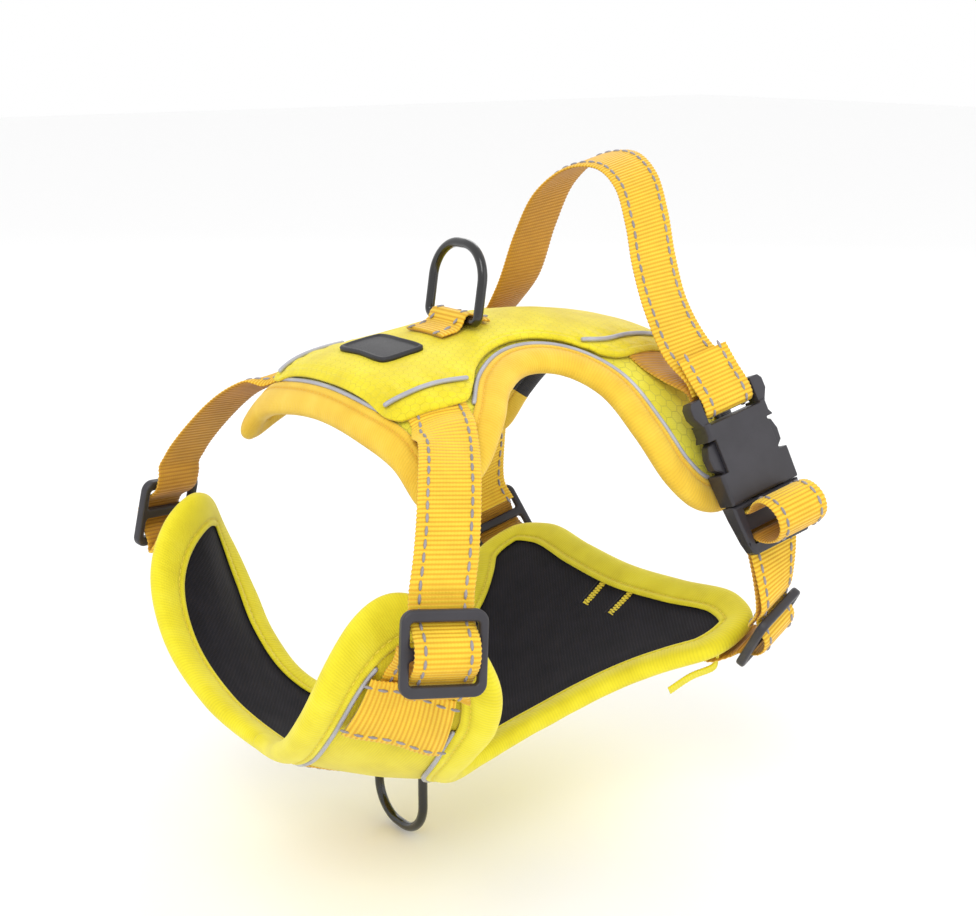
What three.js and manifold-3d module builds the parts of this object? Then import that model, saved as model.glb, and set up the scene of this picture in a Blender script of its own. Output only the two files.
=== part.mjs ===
// A dog vest harness with a padded saddle, a padded chest plate, webbing straps, two side-release buckles,
// four strap sliders, a grab handle and two leash rings.
// Millimetres, Z up. The wearer faces -Y and +X is the wearer's left.
// The origin is on the saddle's underside, on the centre line, where the harness rests on the withers.
// Each panel is cut flat, with `across` measured from its centre line and `along` running to the rear,
// and is then bent over a section whose lean grows with the distance from the centre line.
import * as THREE from "three";
import { mergeVertices } from "three/addons/utils/BufferGeometryUtils.js";
import Module from "manifold-3d";

const wasm = await Module();
wasm.setup();

const degree = Math.PI / 180;
const seamGap = 0.3;
const bindingGap = 1.58;
const webbingGap = 0.6;
const webbingWidth = 25;
const webbingThickness = 1.6;
const liningThickness = 1.0;
const paddingThickness = 2.4;
const bindingThickness = 1.0;
const bindingReach = 13;
const overlayThickness = 1.3;
const pipingRadius = 1.0;
const ringWireRadius = 2.1;
const sliderWidth = 33;
const sliderHeight = 32;
const sliderThickness = 4;
const sliderBar = 4.5;
const buckleThickness = 12;
const ringWidth = 35;
const ringHeight = 32;

// Heights above the wearer's side of a padded panel.
const paddingBottom = liningThickness + seamGap;
const paddingTop = paddingBottom + paddingThickness;
const webbingBottom = paddingTop + webbingGap;
const overlayBottom = webbingBottom + webbingThickness + webbingGap;
const overlayTop = overlayBottom + overlayThickness;

const colours = {
  overlay: { color: 0xf5e634, roughness: 0.8, metalness: 0 },
  saddleFabric: { color: 0xeee66a, roughness: 0.8, metalness: 0 },
  saddleBinding: { color: 0xf0c840, roughness: 0.75, metalness: 0 },
  chestFabric: { color: 0xf2e232, roughness: 0.8, metalness: 0 },
  lining: { color: 0x232129, roughness: 0.9, metalness: 0 },
  webbing: { color: 0xf8c81e, roughness: 0.7, metalness: 0 },
  piping: { color: 0xb0b0ba, roughness: 0.5, metalness: 0 },
  plastic: { color: 0x2e2c31, roughness: 0.45, metalness: 0 },
  wire: { color: 0x0e0e10, roughness: 0.25, metalness: 0.6 },
  rubber: { color: 0x1a1a1c, roughness: 0.6, metalness: 0 },
};

// The saddle falls away from its ridge, and the chest plate rises from its keel. `y` and `z` place the ridge
// or keel at each length of cloth, `lean` is the slope in degrees at the reach, and `dip` flattens the ridge.
const dipReach = 70;
const saddleForm = {
  turn: -1,
  reach: 140,
  rows: [
    { along: -104, y: -86, z: -31, lean: 88, dip: 2 },
    { along: -92, y: -85, z: -21, lean: 89, dip: 3 },
    { along: -80, y: -79, z: -11, lean: 91, dip: 4 },
    { along: -66, y: -67, z: -5, lean: 91, dip: 5.5 },
    { along: -40, y: -41.5, z: -1.5, lean: 90, dip: 5 },
    { along: 0, y: -1.5, z: 0, lean: 90, dip: 0 },
    { along: 36, y: 34.5, z: 0, lean: 94, dip: 2 },
    { along: 62, y: 60.5, z: -3, lean: 98, dip: 4 },
    { along: 96, y: 92.5, z: -14, lean: 100, dip: 4 },
  ],
};
const chestForm = {
  turn: 1,
  reach: 150,
  rows: [
    { along: -142, y: -142, z: -148, lean: 117, dip: 0 },
    { along: -122, y: -122, z: -158, lean: 115, dip: 0 },
    { along: -102, y: -102, z: -168, lean: 104, dip: 0 },
    { along: -80, y: -80, z: -176, lean: 78, dip: 0 },
    { along: -52, y: -52, z: -181.5, lean: 67, dip: 0 },
    { along: -10, y: -10, z: -171, lean: 56, dip: 0 },
    { along: 30, y: 30, z: -155.5, lean: 40, dip: 0 },
    { along: 60, y: 60, z: -141, lean: 20, dip: 0 },
    { along: 84, y: 84, z: -126, lean: 8, dip: 0 },
    { along: 100, y: 100, z: -114, lean: 8, dip: 0 },
  ],
};

// Half outlines of the panels, from the front centre round to the rear centre.
// A row marked as a corner is the middle of a rounded arm end.
const saddleOutline = [
  { across: 0, along: -97 },
  { across: 30, along: -96 },
  { across: 56, along: -92 },
  { across: 76, along: -90 },
  { across: 89, along: -77, corner: true },
  { across: 84, along: -59 },
  { across: 68, along: -41 },
  { across: 52, along: -27 },
  { across: 44, along: -12 },
  { across: 47, along: 2 },
  { across: 60, along: 14 },
  { across: 83, along: 21 },
  { across: 104, along: 30 },
  { across: 116, along: 44 },
  { across: 117.6, along: 58, corner: true },
  { across: 110, along: 72 },
  { across: 86, along: 81 },
  { across: 58, along: 87 },
  { across: 28, along: 92 },
  { across: 0, along: 93 },
];
const chestOutline = [
  { across: 0, along: -123 },
  { across: 30, along: -130 },
  { across: 62, along: -135 },
  { across: 94, along: -132 },
  { across: 122, along: -119 },
  { across: 140, along: -102 },
  { across: 144, along: -88, corner: true },
  { across: 132, along: -76 },
  { across: 110, along: -70 },
  { across: 87, along: -69 },
  { across: 62, along: -63 },
  { across: 47.5, along: -46 },
  { across: 45.5, along: -27 },
  { across: 49.5, along: -4 },
  { across: 55, along: 12 },
  { across: 64, along: 28 },
  { across: 74, along: 40 },
  { across: 85, along: 52 },
  { across: 88, along: 68, corner: true },
  { across: 84, along: 80.5 },
  { across: 66, along: 88.5 },
  { across: 34, along: 87 },
  { across: 0, along: 85.5 },
];
const overlayOutline = [
  { across: 0, along: -82 },
  { across: 28, along: -81.5 },
  { across: 42, along: -81.3 },
  { across: 49, along: -78, corner: true },
  { across: 52.5, along: -68 },
  { across: 54.3, along: -57 },
  { across: 54, along: -51 },
  { across: 48, along: -44.5 },
  { across: 38.5, along: -36 },
  { across: 31, along: -25 },
  { across: 27.6, along: -14 },
  { across: 28, along: -2 },
  { across: 32.4, along: 9 },
  { across: 39, along: 17.5 },
  { across: 45.5, along: 24.5 },
  { across: 47.5, along: 32 },
  { across: 44, along: 52 },
  { across: 41.5, along: 69, corner: true },
  { across: 35, along: 74.5 },
  { across: 20, along: 78 },
  { across: 0, along: 79 },
];

const point = (x, y, z) => new THREE.Vector3(x, y, z);

// The value of a column on a smooth curve through the rows of a table.
function columnAt(rows, key, column, at) {
  const last = rows.length - 1;
  const place = THREE.MathUtils.clamp(at, rows[0][key], rows[last][key]);
  let row = 0;
  while (row < last - 1 && place > rows[row + 1][key]) row += 1;
  const slopeAt = (k) => {
    const before = rows[Math.max(k - 1, 0)];
    const after = rows[Math.min(k + 1, last)];
    return (after[column] - before[column]) / (after[key] - before[key]);
  };
  const span = rows[row + 1][key] - rows[row][key];
  const t = (place - rows[row][key]) / span;
  const start = rows[row][column];
  const end = rows[row + 1][column];
  const blend = t * t * (3 - 2 * t);
  const leave = t * (1 - t) * (1 - t) * span * slopeAt(row);
  const arrive = t * t * (t - 1) * span * slopeAt(row + 1);
  return start + (end - start) * blend + leave + arrive;
}

// The wearer's side of a bent panel.
function bent(form, across, along) {
  const curl = (columnAt(form.rows, "along", "lean", along) * degree) / form.reach;
  const y = columnAt(form.rows, "along", "y", along);
  const z = columnAt(form.rows, "along", "z", along);
  const angle = across * curl;
  const nearness = 1 - Math.min(Math.abs(across) / dipReach, 1);
  const dip = columnAt(form.rows, "along", "dip", along) * Math.sin((nearness * Math.PI) / 2) ** 2;
  return point(Math.sin(angle) / curl, y, z - dip + (form.turn * (1 - Math.cos(angle))) / curl);
}

// A point at a height above the wearer's side of a bent panel.
function onPanel(form, across, along, height) {
  const step = 0.5;
  const base = bent(form, across, along);
  const sideways = bent(form, across + step, along).sub(bent(form, across - step, along));
  const rearwards = bent(form, across, along + step).sub(bent(form, across, along - step));
  const out = sideways.cross(rearwards).normalize().multiplyScalar(-form.turn * height);
  return base.add(out);
}

// A closed body through loops of points, each loop with the same number of points.
// An open loft is capped at both ends by strips between the first and the second half of its loop.
function loft(loops, closed = false) {
  const size = loops[0].length;
  const positions = [];
  loops.forEach((loop) => loop.forEach((p) => positions.push(p.x, p.y, p.z)));
  const faces = [];
  const quad = (a, b, c, d) => faces.push([a, b, c], [a, c, d]);
  const quadTurned = (a, b, c, d) => faces.push([a, b, d], [b, c, d]);
  const spans = closed ? loops.length : loops.length - 1;
  for (let i = 0; i < spans; i += 1) {
    const next = (i + 1) % loops.length;
    for (let k = 0; k < size; k += 1) {
      const after = (k + 1) % size;
      const split = k < size / 2 ? quad : quadTurned;
      split(i * size + k, i * size + after, next * size + after, next * size + k);
    }
  }
  if (!closed) {
    const end = (loops.length - 1) * size;
    for (let k = 0; k < Math.floor(size / 2) - 1; k += 1) {
      const back = size - 1 - k;
      quad(k + 1, k, back, back - 1);
      quad(end + k, end + k + 1, end + back - 1, end + back);
    }
    if (size % 2 === 1) {
      const middle = (size - 1) / 2;
      faces.push([middle, middle - 1, middle + 1]);
      faces.push([end + middle - 1, end + middle, end + middle + 1]);
    }
  }
  let volume = 0;
  const corner = (index) => point(...positions.slice(index * 3, index * 3 + 3));
  faces.forEach(([a, b, c]) => {
    volume += corner(a).dot(corner(b).cross(corner(c)));
  });
  if (volume < 0) faces.forEach((face) => face.reverse());
  const geometry = new THREE.BufferGeometry();
  geometry.setAttribute("position", new THREE.Float32BufferAttribute(positions, 3));
  geometry.setIndex(faces.flat());
  geometry.computeVertexNormals();
  return geometry;
}

// A closed, mirrored outline with its sides counted between the corner rows.
function outlineOf(half) {
  const mirrored = half.slice(1, -1).reverse();
  const loop = [
    ...half.map((row) => point(row.across, row.along, 0)),
    ...mirrored.map((row) => point(-row.across, row.along, 0)),
  ];
  const curve = new THREE.CatmullRomCurve3(loop, true, "centripetal");
  const frontCorner = half.findIndex((row) => row.corner);
  const rearCorner = half.length - 1 - [...half].reverse().findIndex((row) => row.corner);
  return { curve, count: loop.length, frontCorner, rearCorner };
}

// A place on an outline, counted in rows from the front centre, moved inwards by an inset.
function edgeAt(outline, place, inset) {
  const turn = (((place / outline.count) % 1) + 1) % 1;
  const step = 0.02 / outline.count;
  const at = outline.curve.getPoint(turn);
  const ahead = outline.curve.getPoint((turn + step) % 1);
  const behind = outline.curve.getPoint((turn - step + 1) % 1);
  const heading = ahead.sub(behind).normalize();
  return { across: at.x - heading.y * inset, along: at.y + heading.x * inset };
}

// The share of a panel's length at each row, with the rows closer together at the front, where it bends most.
const rowShare = (row, rows) => Math.pow(row / rows, 1.15);

// The share of a front or rear edge at each column, with the columns closer together at the arms' ends.
function columnShare(column, columns) {
  const side = (2 * column) / columns - 1;
  const level = (2 * Math.asin(side)) / Math.PI;
  return 0.5 + 0.5 * THREE.MathUtils.lerp(side, level, 0.7);
}

// The flat grid of a panel: rows of places between its four edges.
function gridOf(outline, inset, columns, rows) {
  const { frontCorner, rearCorner, count } = outline;
  const edge = (from, to, share) => edgeAt(outline, from + (to - from) * share, inset);
  const grid = [];
  for (let j = 0; j <= rows; j += 1) {
    const b = rowShare(j, rows);
    const right = edge(frontCorner, rearCorner, b);
    const left = edge(count - frontCorner, count - rearCorner, b);
    const row = [];
    for (let i = 0; i <= columns; i += 1) {
      const a = i / columns;
      const front = edge(-frontCorner, frontCorner, columnShare(i, columns));
      const rear = edge(count - rearCorner, rearCorner, columnShare(i, columns));
      const mix = (key) => {
        const sides = left[key] * (1 - a) + right[key] * a;
        const ends = front[key] * (1 - b) + rear[key] * b;
        const frontLeft = edge(-frontCorner, frontCorner, 0)[key];
        const frontRight = edge(-frontCorner, frontCorner, 1)[key];
        const rearLeft = edge(count - rearCorner, rearCorner, 0)[key];
        const rearRight = edge(count - rearCorner, rearCorner, 1)[key];
        const frontMix = frontLeft * (1 - a) + frontRight * a;
        const rearMix = rearLeft * (1 - a) + rearRight * a;
        return sides + ends - frontMix * (1 - b) - rearMix * b;
      };
      row.push({ across: mix("across"), along: mix("along") });
    }
    grid.push(row);
  }
  return grid;
}

// One layer of a panel between two heights.
function layer(form, grid, bottom, top) {
  const loops = grid.map((row) => {
    const upper = row.map((at) => onPanel(form, at.across, at.along, top));
    const lower = row.map((at) => onPanel(form, at.across, at.along, bottom)).reverse();
    return [...upper, ...lower];
  });
  return loft(loops);
}

// Every place on an outline that a panel's grid uses, once round.
function placesRound(outline, columns, rows) {
  const { frontCorner, rearCorner, count } = outline;
  const places = [];
  const side = rearCorner - frontCorner;
  const rear = count - 2 * rearCorner;
  for (let i = 0; i < columns; i += 1) places.push(frontCorner * (2 * columnShare(i, columns) - 1));
  for (let j = 0; j < rows; j += 1) places.push(frontCorner + side * rowShare(j, rows));
  for (let i = 0; i < columns; i += 1) places.push(rearCorner + rear * columnShare(i, columns));
  for (let j = rows; j > 0; j -= 1) places.push(count - frontCorner - side * rowShare(j, rows));
  return places;
}

// Tape folded round the edge of a panel, all round it or along a stretch.
function binding(form, outline, places, closed = true) {
  const top = paddingTop + bindingGap;
  const middle = bindingReach / 2;
  const profile = [
    { inset: bindingReach, height: top + bindingThickness },
    { inset: middle, height: top + bindingThickness },
    { inset: 0.7, height: top + bindingThickness },
    { inset: 0, height: top / 2 },
    { inset: 0.7, height: -bindingGap - bindingThickness },
    { inset: middle, height: -bindingGap - bindingThickness },
    { inset: bindingReach, height: -bindingGap - bindingThickness },
    { inset: bindingReach, height: -bindingGap },
    { inset: middle, height: -bindingGap },
    { inset: bindingThickness, height: -bindingGap },
    { inset: bindingThickness, height: top },
    { inset: middle, height: top },
    { inset: bindingReach, height: top },
  ];
  const loops = places.map((place) =>
    profile.map(({ inset, height }) => {
      const at = edgeAt(outline, place, inset);
      return onPanel(form, at.across, at.along, height);
    }),
  );
  return loft(loops, closed);
}

// A round cord or wire through points. A plane's normal keeps a flat wire from twisting.
function wire(points, radius, sides, closed = false, normal = null) {
  const loops = points.map((at, i) => {
    const last = points.length - 1;
    const before = closed ? points[(i + last) % points.length] : points[Math.max(i - 1, 0)];
    const after = closed ? points[(i + 1) % points.length] : points[Math.min(i + 1, last)];
    const heading = after.clone().sub(before).normalize();
    const side = normal ?? heading.clone().cross(point(0.31, 0.17, 0.94)).normalize();
    const up = side.clone().cross(heading);
    return Array.from({ length: sides }, (unused, k) => {
      const angle = ((k + 0.5) / sides) * 2 * Math.PI;
      const reach = side.clone().multiplyScalar(Math.cos(angle) * radius);
      return at.clone().add(reach).add(up.clone().multiplyScalar(Math.sin(angle) * radius));
    });
  });
  return loft(loops, closed);
}

// Piping laid on a panel along its edge.
function pipingAlong(form, outline, from, to, steps, inset, height) {
  const points = [];
  for (let i = 0; i <= steps; i += 1) {
    const at = edgeAt(outline, from + ((to - from) * i) / steps, inset);
    points.push(onPanel(form, at.across, at.along, height + pipingRadius));
  }
  return wire(points, pipingRadius, 5);
}

// Webbing through stations, each a row of points across its width.
function ribbon(stations, thickness = webbingThickness) {
  const last = stations.length - 1;
  const loops = stations.map((row, i) => {
    const before = stations[Math.max(i - 1, 0)];
    const after = stations[Math.min(i + 1, last)];
    const offset = (k, amount) => {
      const heading = after[k].clone().sub(before[k]);
      const left = row[Math.max(k - 1, 0)];
      const right = row[Math.min(k + 1, row.length - 1)];
      const out = heading.cross(right.clone().sub(left)).normalize();
      return row[k].clone().add(out.multiplyScalar(amount));
    };
    const upper = row.map((unused, k) => offset(k, thickness / 2));
    const lower = row.map((unused, k) => offset(k, -thickness / 2)).reverse();
    return [...upper, ...lower];
  });
  return loft(loops);
}

// Stations between the given ones, on smooth curves.
function smoothed(stations, steps) {
  const tracks = stations[0].map((unused, k) => {
    const points = stations.map((row) => row[k]);
    return new THREE.CatmullRomCurve3(points, false, "centripetal");
  });
  const count = (stations.length - 1) * steps;
  const shares = Array.from({ length: count + 1 }, (unused, i) => i / count);
  return shares.map((share) => tracks.map((curve) => curve.getPoint(share)));
}

// Shares of a width, from one edge to the other.
const rowPoints = 4;
function sharesOf(width) {
  return Array.from({ length: rowPoints }, (unused, k) => width * (k / (rowPoints - 1) - 0.5));
}

// A station on a panel, with the webbing's width direction turned from the panel's length.
function stationOnPanel(form, across, along, height, turn = 0, width = webbingWidth) {
  const sideways = Math.sin(turn * degree);
  const lengthways = Math.cos(turn * degree);
  const at = (share) => onPanel(form, across - sideways * share, along + lengthways * share, height);
  return sharesOf(width).map(at);
}

// A free station about a centre point.
function stationAt(centre, across, width = webbingWidth) {
  const direction = across.clone().normalize();
  return sharesOf(width).map((share) => centre.clone().add(direction.clone().multiplyScalar(share)));
}

// A frame for hardware and the webbing through it: x across the webbing, y up the strap, z outwards.
function frameOf(centre, across, up) {
  const x = across.clone().normalize();
  const z = x.clone().cross(up).normalize();
  const y = z.clone().cross(x);
  return new THREE.Matrix4().makeBasis(x, y, z).setPosition(centre);
}

// A station of webbing in a hardware frame.
function stationIn(frame, y, z) {
  return sharesOf(webbingWidth).map((share) => point(share, y, z).applyMatrix4(frame));
}

// Solids for cutting and joining.
function solidOf(geometry) {
  const bare = geometry.clone();
  bare.deleteAttribute("normal");
  bare.deleteAttribute("uv");
  const merged = mergeVertices(bare, 1e-4);
  const vertProperties = merged.attributes.position.array;
  return new wasm.Manifold(
    new wasm.Mesh({ numProp: 3, vertProperties, triVerts: new Uint32Array(merged.index.array) }),
  );
}
function geometryOf(solid) {
  const mesh = solid.getMesh();
  const geometry = new THREE.BufferGeometry();
  geometry.setAttribute("position", new THREE.BufferAttribute(mesh.vertProperties, mesh.numProp));
  geometry.setIndex(new THREE.BufferAttribute(mesh.triVerts, 1));
  geometry.computeVertexNormals();
  return geometry;
}

function box(low, high) {
  const size = high.clone().sub(low);
  const middle = high.clone().add(low).multiplyScalar(0.5);
  return new THREE.BoxGeometry(size.x, size.y, size.z).translate(middle.x, middle.y, middle.z);
}

function roundedRectangle(left, right, bottom, top, radius, Form = THREE.Shape) {
  const shape = new Form();
  shape.moveTo(left + radius, bottom);
  shape.absarc(right - radius, bottom + radius, radius, -90 * degree, 0);
  shape.absarc(right - radius, top - radius, radius, 0, 90 * degree);
  shape.absarc(left + radius, top - radius, radius, 90 * degree, 180 * degree);
  shape.absarc(left + radius, bottom + radius, radius, 180 * degree, 270 * degree);
  shape.closePath();
  return shape;
}

// A moulded plate: a flat shape of a thickness, centred on z = 0, with small bevels.
function plate(shape, thickness, bevel) {
  const geometry = new THREE.ExtrudeGeometry(shape, {
    depth: thickness - 2 * bevel,
    bevelEnabled: bevel > 0,
    bevelThickness: bevel,
    bevelSize: bevel,
    bevelOffset: -bevel,
    bevelSegments: 1,
    curveSegments: 2,
  });
  return geometry.translate(0, 0, bevel - thickness / 2);
}

const harness = new THREE.Group();

function add(name, geometry, look) {
  const mesh = new THREE.Mesh(geometry, new THREE.MeshStandardMaterial(look));
  mesh.name = name;
  harness.add(mesh);
  return mesh;
}

// A left piece and its mirror image.
function addPair(name, geometry, look) {
  add(name + "_left", geometry, look);
  add(name + "_right", geometry.clone(), look).scale.x = -1;
}

const panelColumns = 18;
const saddleRows = 12;
const chestRows = 18;

function addPaddedPanel(prefix, form, outline, rows, fabric) {
  const grid = gridOf(outline, bindingThickness + bindingGap + 4 * seamGap, panelColumns, rows);
  add(prefix + "_lining", layer(form, grid, 0, liningThickness), colours.lining);
  add(prefix + "_panel", layer(form, grid, paddingBottom, paddingTop), fabric);
}

// The saddle. Its rear arch between the girth corners is bound in another colour.
const saddle = outlineOf(saddleOutline);
addPaddedPanel("saddle", saddleForm, saddle, saddleRows, colours.saddleFabric);
const saddlePlaces = placesRound(saddle, panelColumns, saddleRows);
const archStart = panelColumns + saddleRows + 2;
const archEnd = 2 * panelColumns + saddleRows - 2;
const rearPlaces = saddlePlaces.slice(archStart, archEnd + 1);
const frontPlaces = [...saddlePlaces.slice(archEnd + 1), ...saddlePlaces.slice(0, archStart)];
add("saddle_binding", binding(saddleForm, saddle, frontPlaces, false), colours.saddleBinding);
add("saddle_rear_binding", binding(saddleForm, saddle, rearPlaces, false), colours.lining);

// The chest plate.
const chest = outlineOf(chestOutline);
addPaddedPanel("chest", chestForm, chest, chestRows, colours.chestFabric);
const chestPlaces = placesRound(chest, panelColumns, chestRows);
add("chest_binding", binding(chestForm, chest, chestPlaces), colours.overlay);

// The overlay that covers the strap roots on the saddle.
const overlay = outlineOf(overlayOutline);
const overlayLayer = layer(saddleForm, gridOf(overlay, 0, 12, 20), overlayBottom, overlayTop);
add("saddle_overlay", overlayLayer, colours.overlay);

// Piping, laid just inside the bindings and over the overlay's two seams.
const pipingInset = bindingReach + pipingRadius + 3 * seamGap;
const besideBinding = paddingTop + webbingGap;

function pipingOnPanel(form, places, height, steps = 4) {
  const stations = places.map((at) => [onPanel(form, at.across, at.along, height)]);
  return wire(smoothed(stations, steps).flat(), pipingRadius, 5);
}
function pipingByEdge(form, outline, from, to, steps) {
  return pipingAlong(form, outline, from, to, steps, pipingInset, besideBinding);
}
const overOverlay = overlayTop + seamGap + pipingRadius;
addPair(
  "overlay_front_piping",
  pipingOnPanel(
    saddleForm,
    [
      { across: 39.2, along: -79.5 },
      { across: 41, along: -72 },
      { across: 42.4, along: -58 },
      { across: 45, along: -45 },
    ],
    overOverlay,
  ),
  colours.piping,
);
addPair(
  "overlay_rear_piping",
  pipingOnPanel(
    saddleForm,
    [
      { across: 37, along: 18.5 },
      { across: 37.7, along: 31 },
      { across: 34, along: 48 },
      { across: 30, along: 70 },
    ],
    overOverlay,
  ),
  colours.piping,
);

// The rubber patch in front of the ring tab.
const patchOutline = outlineOf([
  { across: 0, along: -66 },
  { across: 12, along: -66 },
  { across: 16, along: -64.5, corner: true },
  { across: 17, along: -55 },
  { across: 15.5, along: -45.5, corner: true },
  { across: 12, along: -44.5 },
  { across: 0, along: -45 },
]);
const patchBottom = overlayTop + seamGap;
const patchThickness = 1.6;
const patchGrid = gridOf(patchOutline, 0, 6, 4);
add("patch", layer(saddleForm, patchGrid, patchBottom, patchBottom + patchThickness), colours.rubber);

// A leash ring: a straight bar in the tab, with round corners, straight legs and a crown.
// The crown's middle is a straight length, which a clip bears on.
function ringGeometry(width, height) {
  const half = width / 2;
  const cornerRadius = 3;
  const crownFlat = 2;
  const path = [];
  const arc = (x, y, radius, from, to, steps) => {
    for (let i = 0; i <= steps; i += 1) {
      const angle = (from + ((to - from) * i) / steps) * degree;
      path.push(point(x + radius * Math.cos(angle), 0, y + radius * Math.sin(angle)));
    }
  };
  arc(half - cornerRadius, cornerRadius, cornerRadius, -90, 0, 3);
  arc(crownFlat, height - half + crownFlat, half - crownFlat, 0, 90, 6);
  arc(-crownFlat, height - half + crownFlat, half - crownFlat, 90, 180, 6);
  arc(cornerRadius - half, cornerRadius, cornerRadius, 180, 270, 3);
  return wire(path, ringWireRadius, 12, true, point(0, 1, 0));
}

// A frame at a ring's bar: x along the bar, y along the panel and z away from the wearer.
function barFrameOn(form, along, surface) {
  const height = surface + seamGap + ringWireRadius;
  const rearwards = onPanel(form, 0, along + 2, height).sub(onPanel(form, 0, along - 2, height));
  return frameOf(onPanel(form, 0, along, height), point(1, 0, 0), rearwards.multiplyScalar(-form.turn));
}

// Webbing that holds a ring: it lies on a panel, rises over the ring's bar and is sewn down behind it.
function ringTab(form, front, bar, surface) {
  const low = surface + webbingGap + webbingThickness / 2;
  const reach = ringWireRadius + seamGap + webbingThickness / 2;
  const frame = barFrameOn(form, bar, surface);
  const rear = -form.turn;
  const raised = bar - 7.5;
  const stations = [0, 0.35, 0.7, 1].map((share) =>
    stationOnPanel(form, 0, front + (raised - front) * share, low, 90),
  );
  stations.push(stationIn(frame, -4.4 * rear, -0.5).reverse());
  for (let angle = 150; angle >= -10; angle -= 32) {
    const y = reach * Math.cos(angle * degree) * rear;
    stations.push(stationIn(frame, y, reach * Math.sin(angle * degree)).reverse());
  }
  stations.push(stationIn(frame, 5 * rear, -0.6).reverse());
  stations.push(stationOnPanel(form, 0, bar + 9, low, 90));
  return ribbon(stations);
}

const topBarAlong = -18;
const topRingLean = 9;
add("top_ring_tab", ringTab(saddleForm, -33, topBarAlong, overlayTop), colours.webbing);
const topRing = add("top_ring", ringGeometry(ringWidth, ringHeight), colours.wire);
topRing.position.setFromMatrixPosition(barFrameOn(saddleForm, topBarAlong, overlayTop));
topRing.rotation.x = -topRingLean * degree;

const chestBarAlong = -52;
add("chest_ring_tab", ringTab(chestForm, -106, chestBarAlong, paddingTop), colours.webbing);
const chestRing = add("chest_ring", ringGeometry(ringWidth, ringHeight), colours.wire);
chestRing.position.setFromMatrixPosition(barFrameOn(chestForm, chestBarAlong, paddingTop));
chestRing.rotation.x = 180 * degree;

// The buckle's frame has y = 0 at the middle of the socket's webbing bar.
const buckleFrame = frameOf(
  point(81.4, 58.8, -22.4),
  point(0.127, 0.957, 0.256),
  point(-0.375, -0.21, 0.903),
);

// The grab handle: an arch of webbing over the back, its feet held between the girth tapes' two layers.
const handleFoot = [
  stationIn(buckleFrame, 4, -1.4),
  stationIn(buckleFrame, 10, -1.6),
  stationAt(point(65, 54.5, -5), point(0.08, 0.97, 0.2)),
  stationAt(point(51, 54.5, 12), point(0, 1, 0.08)),
];
const handleArch = [
  stationAt(point(40, 57, 30), point(0, 1, 0.12)),
  stationAt(point(30.5, 61, 47), point(0, 1, 0.18)),
  stationAt(point(17, 66, 62.5), point(0, 1, 0.22)),
  stationAt(point(0, 68.5, 70), point(0, 1, 0.25)),
  stationAt(point(-18, 65.5, 67.5), point(0, 1, 0.22)),
  stationAt(point(-32.5, 60.5, 55.5), point(0, 1, 0.18)),
  stationAt(point(-42, 57, 36), point(0, 1, 0.12)),
];
const mirrored = (row) => row.map((at) => point(-at.x, at.y, at.z));
const handleStations = [...handleFoot, ...handleArch, ...handleFoot.map(mirrored).reverse()];
add("handle", ribbon(smoothed(handleStations, 2)), colours.webbing);

// Strap slider: a flat ring with a centre bar.
function sliderGeometry() {
  const side = sliderWidth / 2;
  const end = sliderHeight / 2;
  const shape = roundedRectangle(-side, side, -end, end, 5);
  const opening = webbingWidth / 2 + 0.6;
  shape.holes.push(roundedRectangle(-opening, opening, sliderBar / 2, end - sliderBar, 1.5, THREE.Path));
  shape.holes.push(roundedRectangle(-opening, opening, sliderBar - end, -sliderBar / 2, 1.5, THREE.Path));
  return plate(shape, sliderThickness, 0.8);
}

// Webbing behind a slider's end bars and over its centre bar.
const sliderWeave = [
  { y: 20, z: -4.2 },
  { y: 13, z: -3.8 },
  { y: 9.6, z: -1.6 },
  { y: 7.2, z: 1.4 },
  { y: 4.6, z: 4.0 },
  { y: 0, z: 5.2 },
  { y: -4.6, z: 4.0 },
  { y: -7.2, z: 1.4 },
  { y: -9.6, z: -1.6 },
  { y: -12.5, z: -4 },
  { y: -17, z: -5.6 },
];
const weave = (frame) => sliderWeave.map(({ y, z }) => stationIn(frame, y, z));

// The neck straps, from under the overlay, through the sliders and down under the chest bands.
const neckFrame = frameOf(point(111, -106, -89), point(0.3, 0.94, -0.1), point(-0.145, 0.149, 0.965));
addPair("neck_slider", sliderGeometry().applyMatrix4(neckFrame), colours.plastic);
const onPadding = webbingBottom + webbingThickness / 2;
const neckRoot = [
  stationOnPanel(saddleForm, 34, -62, onPadding, -14),
  stationOnPanel(saddleForm, 46, -63, onPadding, -14),
  stationOnPanel(saddleForm, 56, -64.5, onPadding - 0.1, -13),
  stationOnPanel(saddleForm, 61.5, -67, onPadding + 2.8, -13),
  stationAt(point(70, -74, -24.5), point(0.24, 0.95, -0.1)),
  stationAt(point(82, -82, -32), point(0.26, 0.95, -0.1)),
  stationAt(point(92.5, -90, -44), point(0.28, 0.95, -0.1)),
  stationAt(point(101, -97.5, -57.5), point(0.29, 0.94, -0.1)),
];
const neckEnd = [
  stationOnPanel(chestForm, 124, -95, 15.3, -12),
  stationOnPanel(chestForm, 118, -96.5, 10.6, -20),
  stationOnPanel(chestForm, 112.5, -98.5, onPadding + 1.6, -26),
  stationOnPanel(chestForm, 99, -101, onPadding + 0.2, -26),
  stationOnPanel(chestForm, 87, -104.5, onPadding + 0.2, -26),
];
const neckStations = [...smoothed([...neckRoot, stationIn(neckFrame, 24, -3.4)], 2), ...weave(neckFrame)];
addPair("neck_strap", ribbon([...neckStations, ...smoothed(neckEnd, 2)]), colours.webbing);

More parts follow.
